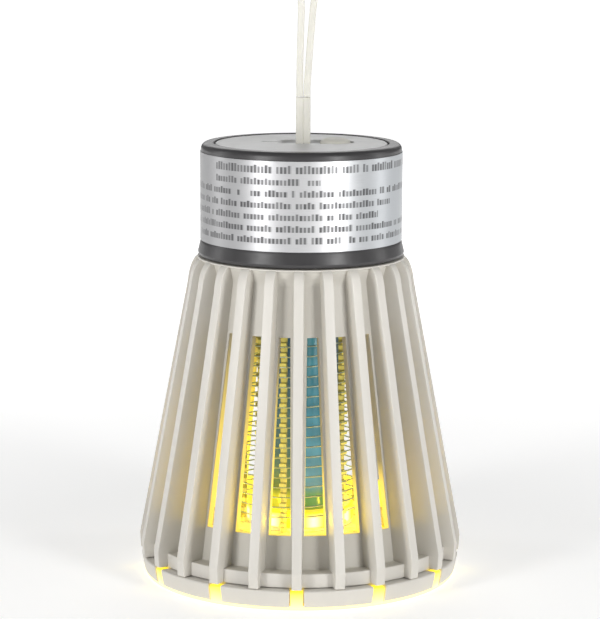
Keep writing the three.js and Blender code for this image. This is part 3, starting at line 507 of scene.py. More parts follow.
def label_look():
    """Brushed foil, with painted reflection bands round it that are lightest just right of the front, and
    seven rows of grey bars where small type would be: no letters.
    """
    look = Look("label_brushed_foil", (0.60, 0.61, 0.62), 0.36, 0.8)
    x, y, z = look.axes()
    angle = look.bearing(x, y)
    arc = look.math("MULTIPLY", angle, LABEL_R * MM)
    around_z = look.node("ShaderNodeCombineXYZ")
    look.feed(around_z, {0: look.math("MULTIPLY", arc, 0.03), 1: 0.0, 2: z})
    lines = look.noise(7.0, 5.0, 0.75, around_z.outputs[0])
    # Painted reflection: the foil's colour runs from dark at the left side to lightest just right of the
    # front, standing for the softboxes' reflection in it.
    painted_reflection = look.ramp(look.span(angle, -1.6, 1.6), [
        (0.0, (0.26, 0.26, 0.265)), (0.2, (0.34, 0.34, 0.345)), (0.42, (0.50, 0.50, 0.51)),
        (0.58, (0.70, 0.70, 0.71)), (0.7, (0.50, 0.515, 0.53)), (1.0, (0.40, 0.425, 0.45)),
    ])
    foil = look.mix(look.spread(lines, 0.25, 0.0), painted_reflection, (0.22, 0.22, 0.225))

    down = look.math("DIVIDE", look.math("SUBTRACT", ROW_TOP * MM, z), ROW_PITCH * MM)
    row = look.math("FLOOR", down)
    within = look.math("SUBTRACT", down, row)

    def is_row(number):
        return look.math("COMPARE", row, number, 0.4)

    def random(cell, shift):
        spot = look.node("ShaderNodeCombineXYZ")
        look.feed(spot, {0: cell, 1: row, 2: shift})
        made = look.node("ShaderNodeTexWhiteNoise", noise_dimensions="3D")
        look.link(spot.outputs[0], made.inputs["Vector"])
        return made.outputs["Value"]

    across = look.math("DIVIDE", arc, LETTER * MM)
    cell = look.math("FLOOR", across)
    inside = look.math("SUBTRACT", across, cell)
    word = look.math("GREATER_THAN", random(cell, 0.5), 0.14)
    rise = look.math("MULTIPLY", look.math("GREATER_THAN", random(cell, 3.5), 0.7), 0.12)
    top = look.math("SUBTRACT", look.math("MULTIPLY_ADD", is_row(0.0), -0.12, 0.27), rise)
    high = look.product(look.math("GREATER_THAN", within, top), look.math("LESS_THAN", within, 0.72))
    stroke = look.math("LESS_THAN", look.math("ABSOLUTE", look.math("SUBTRACT", inside, 0.4)), 0.28)
    ink = look.math("MULTIPLY_ADD", stroke, 0.5, look.math("MULTIPLY_ADD", random(cell, 6.5), 0.3, 0.12))
    # The first two rows start further in, and the second, fourth and fifth end early.
    first = look.math("MULTIPLY_ADD", look.math("LESS_THAN", row, 1.5), 1.35, -2.3)
    last = 2.3
    for number, shorter in ((1.0, 2.1), (3.0, 1.25), (4.0, 1.45)):
        last = look.math("MULTIPLY_ADD", is_row(number), -shorter, last)
    printed = look.product(
        look.math("GREATER_THAN", angle, first), look.math("LESS_THAN", angle, last),
        look.math("GREATER_THAN", row, -0.5), look.math("LESS_THAN", row, ROW_COUNT - 0.5), word, high, ink,
    )
    look.link(look.mix(printed, foil, (0.03, 0.03, 0.032)), "Base Color")
    look.link(look.math("MULTIPLY_ADD", printed, -0.8, 0.8), "Metallic")
    look.link(look.spread(lines, 0.28, 0.46), "Roughness")
    look.bump(lines, 0.12, 0.01)
    return look.material


def lamp_look():
    """The lit column: dark glass, teal in front of each LED strip, green and then yellow at its foot."""
    look = Look("lamp_lit_tube", (0.01, 0.03, 0.04), 0.18, Coat_Weight=0.2)
    x, y, z = look.axes()
    up = look.span(z, LAMP_BOTTOM * MM, LAMP_TOP * MM)
    glow = look.ramp(up, [
        (0.0, (0.85, 0.72, 0.03)), (0.05, (0.60, 0.56, 0.03)), (0.07, (0.12, 0.28, 0.05)),
        (0.12, (0.11, 0.27, 0.09)), (0.15, (0.13, 0.30, 0.32)), (0.3, (0.08, 0.26, 0.31)),
        (0.45, (0.045, 0.19, 0.235)), (0.8, (0.040, 0.17, 0.19)), (1.0, (0.028, 0.13, 0.14)),
    ])
    edge = look.ramp(up, [
        (0.0, (0.85, 0.70, 0.02)), (0.11, (0.70, 0.60, 0.02)), (0.14, (0.16, 0.20, 0.03)),
        (0.3, (0.05, 0.12, 0.10)), (0.6, (0.015, 0.05, 0.075)), (1.0, (0.008, 0.024, 0.036)),
    ])
    angle = look.bearing(x, y, UV_STRIP_ROUND)
    wave = look.waves(look.math("MULTIPLY", angle, UV_STRIP_COUNT))
    stripe = look.span(wave, look.span(up, 0.2, 0.4, 0.25, 0.55), look.span(up, 0.2, 0.4, 0.6, 0.85))
    leds = look.waves(look.math("MULTIPLY", z, TURN / (UV_LED_PITCH * MM)), 0.87, 1.03)
    cloud = look.spread(look.noise(0.25, 3.0), 0.85, 1.12)
    look.link(look.mix(stripe, edge, glow), "Emission Color")
    look.link(look.product(leds, cloud), "Emission Strength")
    look.link(look.spread(look.noise(2.0, 3.0), 0.14, 0.26), "Roughness")
    return look.material


def comb_look():
    """Cream insulator, with a darker yellow base colour on its posts. Its comb teeth, and the post between
    them, have a painted glow: emission that stands for the light of the lamps.
    """
    look = Look("grid_insulator", (0.30, 0.27, 0.10), 0.4)
    x, y, z = look.axes()
    out = look.off_axis(x, y)
    post_top = GRID_RING_BOTTOM - 0.4
    on_post = look.product(look.math("GREATER_THAN", z, (GRID_FOOT_TOP + 0.3) * MM),
                           look.math("LESS_THAN", z, post_top * MM))
    tooth = look.product(look.math("GREATER_THAN", out, (POST_AT + 1.0) * MM), on_post)
    phase = look.math("MULTIPLY", look.math("SUBTRACT", z, GRID_BOTTOM * MM), TURN / (GRID_GAP * MM))
    between = look.product(look.span(look.math("COSINE", phase), 0.15, 0.45), 0.75)
    # Painted glow: the teeth and the bands between them give off emission that stands for the lamps' light,
    # and low makes it weaker higher up.
    painted_glow_share = look.math("MAXIMUM", tooth, between)
    low = look.span(z, GRID_FOOT_TOP * MM, post_top * MM, 1.0, 0.55)
    grain = look.spread(look.noise(1.2, 2.0), 0.75, 1.1)
    look.link(look.mix(on_post, (0.72, 0.66, 0.52), (0.34, 0.31, 0.13)), "Base Color")
    look.link(look.mix(painted_glow_share, (0.20, 0.16, 0.012), (0.92, 0.78, 0.16)), "Emission Color")
    level = look.math("MULTIPLY_ADD", painted_glow_share, 0.62, 0.22)
    look.link(look.product(level, low, grain, on_post), "Emission Strength")
    look.bump(look.noise(4.0, 2.0), 0.25, 0.012)
    return look.material


def tray_look():
    """Clear yellow-lit dish: palest over the small LEDs in its middle and at the foot of its teeth."""
    look = Look("tray_lit_yellow", (0.9, 0.68, 0.05), 0.3, Coat_Weight=0.2)
    x, y, z = look.axes()
    out = look.off_axis(x, y)
    cloud = look.spread(look.noise(0.25, 3.0), -0.12, 0.12)
    near = look.math("ADD", look.span(out, 3.0 * MM, 30.0 * MM, 0.9, 0.1), cloud, clamp=True)
    under = look.mix(near, (0.80, 0.50, 0.015), (1.0, 0.84, 0.26))
    teeth = look.mix(look.span(z, 1.0 * MM, TOOTH_TOP * MM), (1.0, 0.93, 0.62), (1.0, 0.76, 0.03))
    at_rim = look.math("GREATER_THAN", out, (TOOTH_INNER - 0.3) * MM)
    look.link(look.mix(at_rim, under, teeth), "Emission Color")
    rings = look.math("COSINE", look.math("MULTIPLY", out, TURN / (1.5 * MM)))
    level = look.math("MULTIPLY_ADD", near, 0.32, look.math("MULTIPLY_ADD", rings, 0.04, 0.5))
    look.link(look.math("MAXIMUM", level, at_rim), "Emission Strength")
    look.bump(rings, 0.3, 0.05)
    return look.material


def collar_look():
    """Milky collar over a ring of yellow LEDs, white where an LED is close behind it."""
    look = Look("collar_lit_yellow", (0.9, 0.68, 0.05), 0.3, Coat_Weight=0.2)
    x, y, z = look.axes()
    wave = look.waves(look.math("MULTIPLY", look.bearing(x, y, GLOW_LED_ROUND), GLOW_LED_COUNT))
    off_middle = look.math("ABSOLUTE", look.span(z, GRID_FOOT_TOP * MM, COLLAR_GLOW_TOP * MM, -1.0, 1.0))
    at_led = look.span(look.math("SUBTRACT", 1.0, off_middle), 0.1, 0.6)
    hot = look.product(look.math("POWER", wave, 3.0), at_led)
    cloud = look.spread(look.noise(0.35, 3.0))
    yellow = look.mix(cloud, (1.0, 0.74, 0.03), (0.96, 0.66, 0.02))
    look.link(look.mix(hot, yellow, (1.0, 0.93, 0.68)), "Emission Color")
    look.link(look.math("MULTIPLY_ADD", hot, 0.4, 0.78), "Emission Strength")
    look.bump(look.noise(3.0, 2.0), 0.2, 0.01)
    return look.material


def board_look(name, mask, copper):
    """Solder mask over tracks: a fine grid of lines shows through."""
    look = Look(name, mask, 0.35, Coat_Weight=0.3)
    tracks = look.node("ShaderNodeTexBrick")
    tracks.inputs["Scale"].default_value = 260.0
    tracks.inputs["Mortar Size"].default_value = 0.03
    look.link(look.coordinate, tracks.inputs["Vector"])
    share = look.math("MULTIPLY", look.math("GREATER_THAN", tracks.outputs["Fac"], 0.5), 0.6)
    look.link(look.mix(share, mask, copper), "Base Color")
    look.link(look.spread(look.noise(1.5, 3.0), 0.28, 0.45), "Roughness")
    look.bump(share, 0.3, 0.03)
    return look.material


CAGE = cage_look()
HEAD = moulded("head_dark_satin", (0.040, 0.0385, 0.040), 0.34, 5.0, 0.012, 0.08)
LABEL = label_look()
COVER = moulded("cover_pale_satin", (0.66, 0.66, 0.655), 0.42, 5.0, 0.012, 0.03)
SILICONE = moulded("strap_silicone", (0.70, 0.685, 0.62), 0.5, 3.0, 0.01, 0.05, Subsurface_Weight=0.15,
                   Subsurface_Radius=(0.003, 0.003, 0.002))
RUBBER = moulded("black_rubber", (0.022, 0.022, 0.024), 0.62, 5.0, 0.015, 0.1)
BLACK = moulded("black_plastic", (0.022, 0.022, 0.023), 0.45, 4.0, 0.02, 0.1)
INSULATOR = comb_look()
FERRITE = moulded("ferrite_core", (0.05, 0.045, 0.042), 0.6, 3.0, 0.04, 0.2)
FILM = moulded("capacitor_epoxy", (0.42, 0.07, 0.035), 0.25, 1.0, 0.02, 0.1)
CELL = moulded("cell_shrink_sleeve", (0.04, 0.13, 0.36), 0.28, 0.8, 0.02, 0.08)
RED_LEAD = moulded("lead_insulation_red", (0.42, 0.02, 0.015), 0.45, 3.0, 0.01, 0.08)
STEEL = drawn_metal("zinc_steel", (0.58, 0.58, 0.59), 0.3)
WIRE_METAL = drawn_metal("grid_steel_wire", (0.50, 0.60, 0.56), 0.3)
BOARD = board_look("board_green_mask", (0.012, 0.12, 0.045), (0.05, 0.26, 0.09))
WHITE_BOARD = board_look("led_board_white_mask", (0.72, 0.72, 0.70), (0.6, 0.6, 0.58))
LAMP = lamp_look()
GLOW = tray_look()
COLLAR_GLOW = collar_look()
LENS = moulded("indicator_smoked_lens", (0.16, 0.16, 0.15), 0.15, 1.0, 0.005, 0.1, Coat_Weight=0.5)

# ------------------------------------------------------------------ camera and light
CAMERA_AIM = Vector((-0.2, 0.0, 74.17)) * MM
CAMERA_AWAY = 704.1 * MM
CAMERA_DOWN, CAMERA_ROUND, CAMERA_ROLL = (math.radians(a) for a in (9.8, 1.0, 0.25))
SENSOR, FOCAL = 36.0, 147.431
PAPER_WIDE, PAPER_DOWN = 12000.0, 0.02  # white paper under the lamp and far behind it
SOFTBOX_AIM = (0.0, 0.0, 0.06)


def aimed(obj, place, target):
    obj.location = place
    obj.rotation_euler = (Vector(target) - Vector(place)).to_track_quat("-Z", "Y").to_euler()
    SCENE.collection.objects.link(obj)
    return obj


def make_camera():
    data = bpy.data.cameras.new("camera")
    data.sensor_width = SENSOR
    data.lens = FOCAL
    data.clip_start, data.clip_end = 0.05, 20.0
    way = Vector((
        math.sin(CAMERA_ROUND) * math.cos(CAMERA_DOWN),
        -math.cos(CAMERA_ROUND) * math.cos(CAMERA_DOWN),
        math.sin(CAMERA_DOWN),
    ))
    SCENE.camera = aimed(bpy.data.objects.new("camera", data), CAMERA_AIM + way * CAMERA_AWAY, CAMERA_AIM)
    SCENE.camera.rotation_euler.rotate_axis("Z", CAMERA_ROLL)


def paper_look():
    """Seamless white paper that glows more the further it is from the lamp, and is clear from below."""
    look = Look("studio_paper", (0.9, 0.9, 0.895), 0.7)
    x, y, _ = look.axes()
    look.set("Emission Color", (1.0, 1.0, 1.0, 1.0))
    look.link(look.span(look.off_axis(x, y), 0.1, 0.7, 0.38, 0.9), "Emission Strength")
    look.tint(look.noise(0.5, 2.0), 0.995, 1.0)
    sides = look.node("ShaderNodeMixShader")
    look.link(look.node("ShaderNodeNewGeometry").outputs["Backfacing"], sides.inputs[0])
    look.link(look.shader.outputs[0], sides.inputs[1])
    look.link(look.node("ShaderNodeBsdfTransparent").outputs[0], sides.inputs[2])
    look.link(sides.outputs[0], look.tree.nodes["Material Output"].inputs["Surface"])
    return look.material


def softbox(name, azimuth, height, distance, wide, high, power):
    """A white area light, sizes in metres, at an azimuth counted from the front towards the right."""
    data = bpy.data.lights.new(name, "AREA")
    data.shape, data.size, data.size_y = "RECTANGLE", wide, high
    data.energy = power
    a = math.radians(azimuth)
    place = Vector((math.sin(a) * distance, -math.cos(a) * distance, height))
    aimed(bpy.data.objects.new(name, data), place, SOFTBOX_AIM)


def make_studio():
    world = bpy.data.worlds.new("studio")
    SCENE.world = world
    world.use_nodes = True
    background = world.node_tree.nodes["Background"]
    background.inputs["Color"].default_value = (1.0, 1.0, 1.0, 1.0)
    background.inputs["Strength"].default_value = 0.2
    softbox("soft_left", -43.0, 0.2, 0.72, 0.16, 0.6, 2.9)
    softbox("soft_far_left", -104.0, 0.2, 0.72, 0.12, 0.6, 0.8)
    softbox("soft_right", 41.0, 0.22, 0.72, 0.16, 0.6, 2.9)
    softbox("soft_far_right", 100.0, 0.2, 0.72, 0.12, 0.6, 0.8)
    softbox("soft_rear", 180.0, 0.5, 0.9, 0.8, 0.5, 2.0)
    SCENE.view_settings.view_transform = "Standard"

    half = PAPER_WIDE / 2
    corners = [(x * half, y * half, -PAPER_DOWN) for x, y in ((-1, -1), (1, -1), (1, 1), (-1, 1))]
    floor = new_object("floor", (corners, [(0, 1, 2, 3)]))
    floor.data.materials.append(paper_look())


def make_inner_light(name, z, r, power, color):
    """A ring of small lamps inside the cage, for the light that the LEDs throw."""
    for i, a in enumerate(around(GLOW_LED_COUNT)):
        data = bpy.data.lights.new(name, "POINT")
        data.energy, data.color, data.shadow_soft_size = power / GLOW_LED_COUNT, color, 1.2 * MM
        obj = bpy.data.objects.new(f"{name}_{i}", data)
        obj.location = Vector((r * math.cos(a), r * math.sin(a), z)) * MM
        SCENE.collection.objects.link(obj)


make_camera()
make_studio()

# ------------------------------------------------------------------ hanging strap
LOOP_ROUTE = [
    (-0.55, 0, 133.4), (-0.55, 0, 137.0), (-0.5, 0, 142.0), (-0.4, 0, 147.0), (-0.3, 0, 152.0),
    (-0.2, 0, 157.0), (-0.4, 0, 161.0), (-1.3, 0, 164.6), (-2.2, 0, 167.6), (-2.3, 0, 170.4),
    (-0.9, 0, 172.7), (1.5, 0, 173.5), (3.9, 0, 172.7), (5.4, 0, 170.4), (5.5, 0, 167.6),
    (4.7, 0, 164.4), (3.6, 0, 160.6), (3.0, 0, 157.0), (2.6, 0, 152.0), (2.2, 0, 147.0),
    (1.9, 0, 142.0), (1.55, 0, 137.0), (1.45, 0, 133.4),
]


def smooth_path(points, per_span=6):
    """Catmull-Rom points through a list."""
    pts = [Vector(p) for p in points]
    pts = [2 * pts[0] - pts[1], *pts, 2 * pts[-1] - pts[-2]]
    out = []
    for p0, p1, p2, p3 in zip(pts, pts[1:], pts[2:], pts[3:]):
        for k in range(per_span):
            t = k / per_span
            out.append(0.5 * (
                2 * p1 + (p2 - p0) * t + (2 * p0 - 5 * p1 + 4 * p2 - p3) * t * t
                + (3 * p1 - p0 - 3 * p2 + p3) * t * t * t
            ))
    return [*out, pts[-2]]


def make_strap():
    path = smooth_path(LOOP_ROUTE)
    section = rounded([(-0.95, -0.85), (0.95, -0.85), (0.95, 0.85), (-0.95, 0.85)], 0.45, 4)
    loop = piece("strap_loop", sweep(path, section), "upper_unit", SILICONE, "hanging_loop", 60)

    # The stem is the two strands moulded side by side, with the groove between them still showing.
    outline = rounded([
        (-1.0, -0.95, 0.4), (0.92, -0.95, 0.35), (1.0, -0.72, 0.15), (1.08, -0.95, 0.35), (3.0, -0.95, 0.4),
        (3.0, 0.95, 0.4), (1.08, 0.95, 0.35), (1.0, 0.72, 0.15), (0.92, 0.95, 0.35), (-1.0, 0.95, 0.4),
    ], 0.3, 4)
    outline = [(x - 1.0 + STRAP_X, y) for x, y in outline]
    stem = new_object("strap_stem", prism(outline, 112.0, 133.2, 0.12))
    collar = prism(rounded([(-3.2, -1.9), (3.2, -1.9), (3.2, 1.9), (-3.2, 1.9)], 0.6), 116.4, 119.1, 0.15)
    combine(stem, "UNION", shifted(collar, STRAP_X))
    stem = piece("strap_root", stem, "upper_unit", SILICONE, "strap_stem")


make_strap()

# ------------------------------------------------------------------ cage
def cage_wall():
    """The cone wall, from the bayonet tube at its foot to the deck and the spigot that centres the head."""
    return lathe(rounded([
        (LOCK_INNER, 2.0, 0.3), (LOCK_OUTER, 2.0, 0.3), (LOCK_OUTER, FLANGE_BOTTOM, 0.3),
        (SKIRT_R, FLANGE_BOTTOM, 0.3), (SKIRT_R, SKIRT_BOTTOM, 0.2), (FLANGE_R, SKIRT_BOTTOM, 0.25),
        (FLANGE_R, FLANGE_TOP, 0.35), (wall_outer(FLANGE_TOP), FLANGE_TOP, 0.5),
        (wall_outer(FLARE_BOTTOM), FLARE_BOTTOM, 5.0), (FLARE_OUTER, FLARE_TOP, 0.6),
        (FLARE_OUTER, DECK_TOP - DECK_LIP, 0.15), (DECK_R, DECK_TOP - DECK_LIP, 0.2),
        (DECK_R, DECK_TOP, 0.25), (SPIGOT_OUTER, DECK_TOP, 0.2), (SPIGOT_OUTER, SPIGOT_TOP, 0.4),
        (SPIGOT_INNER, SPIGOT_TOP, 0.4), (SPIGOT_INNER, DECK_TOP, 0.2),
        (DECK_HOLE, DECK_TOP, 0.3), (DECK_HOLE, DECK_BOTTOM, 0.3), (FLARE_INNER, DECK_BOTTOM, 1.0),
        (wall_inner(FLARE_BOTTOM), FLARE_BOTTOM, 3.0), (wall_inner(FLANGE_TOP), FLANGE_TOP, 0.4),
        (LOCK_INNER, FLANGE_BOTTOM, 0.4),
    ], 0.4, 6))


def window_wedge():
    """The opening between two fins: it widens towards its bottom, as the cone does."""
    widening = (WINDOW_HALF_BOTTOM - WINDOW_HALF_TOP) / (wall_outer(WINDOW_BOTTOM) - wall_outer(WINDOW_TOP))
    near, far = wall_inner(WINDOW_TOP) - 1, wall_outer(WINDOW_BOTTOM) + 1
    half_near, half_far = (WINDOW_HALF_TOP + widening * (r - wall_outer(WINDOW_TOP)) for r in (near, far))
    return prism([(near, -half_near), (far, -half_far), (far, half_far), (near, half_near)],
                 WINDOW_BOTTOM, WINDOW_TOP)


def fin():
    bite = CAGE_WALL / 2
    in_flange, in_skirt = (FLANGE_BOTTOM + FLANGE_TOP) / 2, (SKIRT_R + FLANGE_R) / 2
    start, pull = (SHOULDER_R, SHOULDER_Z), (SHOULDER_R - 0.6, FIN_TOP_Z - 1.2)
    end = (DECK_R - 0.4, FIN_TOP_Z - 0.05)
    shoulder = [
        tuple((1 - t) ** 2 * a + 2 * t * (1 - t) * b + t * t * c for a, b, c in zip(start, pull, end))
        for t in (i / 8 for i in range(9))
    ]
    lower = rounded([
        (wall_outer(in_flange) - bite, in_flange, 0), (in_skirt, in_flange, 0),
        (FLANGE_R - 0.1, FIN_BOTTOM_Z + 0.6, 0), (FLANGE_R + 0.1, FIN_BOTTOM_Z, 0.2),
        (FIN_BOTTOM_R, FIN_BOTTOM_Z, 0.3), (FOOT_R, FOOT_Z, 3.0), (SHOULDER_R, SHOULDER_Z, 0),
    ], 0.0, 5)
    root = [(FLARE_INNER + 0.3, 88.6), (wall_outer(FLARE_BOTTOM) - bite, FLARE_BOTTOM)]
    return plate(lower[:-1] + shoulder + root, FIN_THICK, 0.42, 4)


def lock_ledges():
    """Three level ledges, each with a stop at its end, that hold the lugs of the base."""
    inner, outer, overlap = LOCK_OUTER - 0.8, LOCK_OUTER + LEDGE_DEPTH, 0.01
    ledge = bent_bar(inner, outer, LEDGE_BOTTOM, LEDGE_THICK, 0.0, LEDGE_ARC)
    stop = bent_bar(inner, outer, LEDGE_BOTTOM - overlap, STOP_HIGH, LEDGE_ARC - overlap, STOP_ARC, 6)
    return ring_of(ledge, around(LEDGE_COUNT)), ring_of(stop, around(LEDGE_COUNT))


def make_cage():
    cage = new_object("cage", cage_wall())
    fins = around(FIN_COUNT, FRONT)
    combine(cage, "DIFFERENCE", ring_of(window_wedge(), around(FIN_COUNT, FRONT + FIN_STEP / 2)))
    combine(cage, "UNION", ring_of(fin(), fins), *lock_ledges())
    return piece("finned_cage_shell", cage, "upper_unit", CAGE, "finned_cage", 30)


make_cage()

# ------------------------------------------------------------------ base
def make_base():
    ring = new_object("ring", lathe(rounded([
        (COLLAR_INNER, BASE_BOTTOM, 0.3), (COLLAR_OUTER, BASE_BOTTOM, 0.3),
        (COLLAR_OUTER, BASE_TOP - 1.5, 0.3), (BASE_R_TOP - 2.2, BASE_TOP - 1.5, 0.3),
        (BASE_R_BOTTOM - 2.2, BASE_BOTTOM, 0.3),
        (BASE_R_BOTTOM, BASE_BOTTOM, 0.45), (BASE_R_TOP, BASE_TOP, 0.5), (COLLAR_OUTER, BASE_TOP, 0.3),
        (COLLAR_OUTER, COLLAR_TOP, 0.3), (COLLAR_INNER, COLLAR_TOP, 0.3),
    ])))
    lug = bent_bar(LOCK_OUTER + 0.3, COLLAR_INNER + 0.4, LEDGE_BOTTOM + LEDGE_THICK + 0.3, LEDGE_THICK,
                   LUG_FROM, LUG_ARC, 8)
    combine(ring, "UNION", ring_of(lug, around(LEDGE_COUNT)), rods_at_screws(1.6, 1.6, 4.7))
    notch = prism(rounded([
        (TOOTH_INNER - 0.3, -NOTCH_WIDE / 2), (BASE_R_TOP + 2, -NOTCH_WIDE / 2),
        (BASE_R_TOP + 2, NOTCH_WIDE / 2), (TOOTH_INNER - 0.3, NOTCH_WIDE / 2),
    ], 0.4), 0.0, BASE_TOP + 2)
    combine(ring, "DIFFERENCE", ring_of(notch, around(NOTCHES, FRONT)), rods_at_screws(0.95, 0, 4.9))
    piece("base_band", ring, "base", CAGE, "base_ring", 30)


def make_tray():
    """The clear dish: rings cut into its underside, a cup wall, and a tooth in each notch of the band."""
    grooves = [
        (r + across, up, 0.1)
        for r in TRAY_GROOVES for across, up in ((-0.5, 0), (-0.2, 0.25), (0.2, 0.25), (0.5, 0))
    ]
    dish = new_object("tray", lathe(rounded([
        (0, 0, 0), *grooves, (TRAY_R - 1.2, 0, 0.2), (TRAY_R, 0.35, 0.3), (TRAY_R, TRAY_THICK, 0.25),
        (CUP_OUTER, TRAY_THICK, 0.4), (CUP_OUTER, CUP_RIM, 0.35), (CUP_INNER, CUP_RIM, 0.35),
        (CUP_INNER, TRAY_THICK + 0.2, 0.8), (0, TRAY_THICK + 0.2, 0),
    ])))
    tooth = plate(rounded([
        (TOOTH_INNER, 0.5, 0), (43.1, 0.5, 0), (43.45, 1.3, 0.2), (44.2, TOOTH_TOP, 0.6),
        (TOOTH_INNER, TOOTH_TOP, 0.3),
    ], 0.3), TOOTH_WIDE, 0.35, 3)
    combine(dish, "UNION", ring_of(tooth, around(NOTCHES, FRONT)))
    combine(dish, "DIFFERENCE", rods_at_screws(1.0, -1, 2), rods_at_screws(1.9, -1, 0.6))
    piece("tray_lit_dish", dish, "base", GLOW, "diffuser_tray", 30)


def cross_recess(half, z0, z1):
    """Two crossed bars that cut the recess for a screwdriver."""
    bar = block(-half, half, -half * 0.22, half * 0.22, z0, z1)
    return bar, turned(bar, math.pi / 2)


def make_base_screws():
    for i, (x, y) in enumerate(SCREW_SPOTS):
        screw = new_object("screw", lathe(rounded([
            (0, 0.1, 0), (1.4, 0.1, 0.25), (1.6, 0.5, 0.08), (0.7, 0.5, 0.1), (0.7, 4.2, 0.1), (0, 4.6, 0),
        ]), 48))
        combine(screw, "DIFFERENCE", *cross_recess(0.9, -0.9, 0.4))
        screw.data.transform(Matrix.Translation((x * MM, y * MM, 0)))
        piece(f"tray_screw_{i + 1}", screw, "base", STEEL, f"base_screw_{i + 1}")


def make_seal():
    ring = lathe(rounded([
        (SEAL_INNER, SEAL_BOTTOM), (SEAL_OUTER, SEAL_BOTTOM), (SEAL_OUTER, SEAL_TOP), (SEAL_INNER, SEAL_TOP),
    ], 0.2))
    piece("seal_ring", ring, "base", RUBBER, "base_seal")


make_base()
make_tray()
make_base_screws()
make_seal()

# ------------------------------------------------------------------ head
def make_head():
    inner, seat = HEAD_R - HEAD_WALL, HEAD_TOP - 2.3
    shell = new_object("head", lathe(rounded([
        (inner, HEAD_BOTTOM, 0.3), (HEAD_FLARE - 0.3, HEAD_BOTTOM, 0.3), (HEAD_FLARE, HEAD_BOTTOM + 0.9, 0.4),
        (HEAD_R + 0.25, LABEL_BOTTOM - 0.6, 1.5), (HEAD_R, LABEL_BOTTOM, 0.3),
        (HEAD_R, HEAD_TOP - 0.05, 1.75), (HEAD_RIM + 0.1, HEAD_TOP, 0.35),
        (HEAD_RIM, seat, 0.1), (HEAD_RIM - 1.0, seat, 0.1),
        (HEAD_RIM - 1.0, seat - 1.2, 0.2), (inner, seat - 2.2, 0.4),
    ], 0.4, 6), 256))
    half_wide, half_high = FLAP_WIDE / 2 + 0.3, FLAP_HIGH / 2 + 0.3
    pocket = block(-half_wide, half_wide, FLAP_OUTER - FLAP_THICK - 0.3, HEAD_FLARE + 1,
                   USB_Z - half_high, USB_Z + half_high, 0.5)
    port = block(-5.1, 5.1, inner - 3, HEAD_FLARE, USB_Z - 2.1, USB_Z + 2.1, 0.4)
    combine(shell, "DIFFERENCE", pocket, port)
    piece("head_shell", shell, "upper_unit", HEAD, "head_housing", 35)


def make_label():
    wrap = bent_bar(LABEL_R, LABEL_R + 0.2, LABEL_BOTTOM, LABEL_TOP - LABEL_BOTTOM,
                    (math.pi + LABEL_GAP) / 2, TURN - LABEL_GAP, 240)
    piece("label_wrap", wrap, "upper_unit", LABEL, "rating_label", 30)


def make_cover():
    bottom = COVER_TOP - COVER_THICK
    cover = new_object("cover", lathe(rounded([
        (0, bottom, 0), (COVER_R, bottom, 0.2), (COVER_R, COVER_TOP - 0.35, 0.45),
        (20.0, COVER_TOP - 0.12, 6.0), (0, COVER_TOP, 0),
    ], 0.3, 6), 256))
    well = prism(slot_outline(-2.0, BUTTON_X, 5.2, 24), COVER_TOP - 0.7, COVER_TOP + 1)
    button_hole = rod(BUTTON_R + 0.3, BUTTON_X, 0, bottom - 1, COVER_TOP + 1)
    strap_hole = block(STRAP_X - 2.35, STRAP_X + 2.35, -1.4, 1.4, bottom - 1, COVER_TOP + 1, 0.3)
    slot = shifted(prism(slot_outline(-1.5, 1.5, 0.8), bottom - 1, COVER_TOP + 1), SLOT_X)
    combine(cover, "DIFFERENCE", well, button_hole, strap_hole, slot)
    piece("cover_disc", cover, "upper_unit", COVER, "top_cover", 30)


def make_button():
    shoulder = COVER_TOP - COVER_THICK - 0.3
    button = lathe(rounded([
        (0, 113.5, 0), (1.6, 113.5, 0.2), (1.6, shoulder - 0.9, 0.3), (5.0, shoulder - 0.9, 0.2),
        (5.0, shoulder, 0.2), (BUTTON_R, shoulder, 0.1), (BUTTON_R, BUTTON_TOP - 0.7, 1.0),
        (2.6, BUTTON_TOP, 1.0), (1.2, BUTTON_TOP - 0.18, 2.0), (0, BUTTON_TOP - 0.22, 0),
    ], 0.3, 6), 96)
    piece("button_cap", shifted(button, BUTTON_X), "button", SILICONE, "power_button", 40)


def make_indicator():
    """The window in the cover's slot, its flange under the cover, and the light guide down to the LED."""
    bottom = COVER_TOP - COVER_THICK
    lens = new_object("lens", prism(slot_outline(-1.5, 1.5, 0.6), bottom - 0.2, COVER_TOP - 0.15, 0.12))
    combine(lens, "UNION", prism(slot_outline(-1.5, 1.5, 1.6), bottom - 1.2, bottom - 0.1, 0.1),
            rod(1.0, 0, 0, 111.2, bottom - 0.8))
    lens.data.transform(Matrix.Translation((SLOT_X * MM, 0, 0)))
    piece("indicator_window", lens, "upper_unit", LENS, "indicator_lens")


def make_flap():
    half = FLAP_WIDE / 2
    low, high = USB_Z - FLAP_HIGH / 2, USB_Z + FLAP_HIGH / 2
    outline = rounded([(-half, low), (half, low), (half, high), (-half, high)], 1.3, 6)
    flap = new_object("flap", shifted(plate(outline, FLAP_THICK, 0.3), y=FLAP_OUTER - FLAP_THICK / 2))
    combine(flap, "UNION",
            block(-1.5, 1.5, FLAP_OUTER - 0.2, FLAP_OUTER + 0.6, high - 1.2, high - 0.1, 0.25, 3),
            block(-3.6, 3.6, FLAP_OUTER - FLAP_THICK - 0.9, FLAP_OUTER - FLAP_THICK + 0.2,
                  USB_Z - 0.8, USB_Z + 0.8, 0.3, 3))
    piece("port_flap", flap, "flap", RUBBER, "usb_flap")


make_head()
make_label()
make_cover()
make_button()
make_indicator()
make_flap()

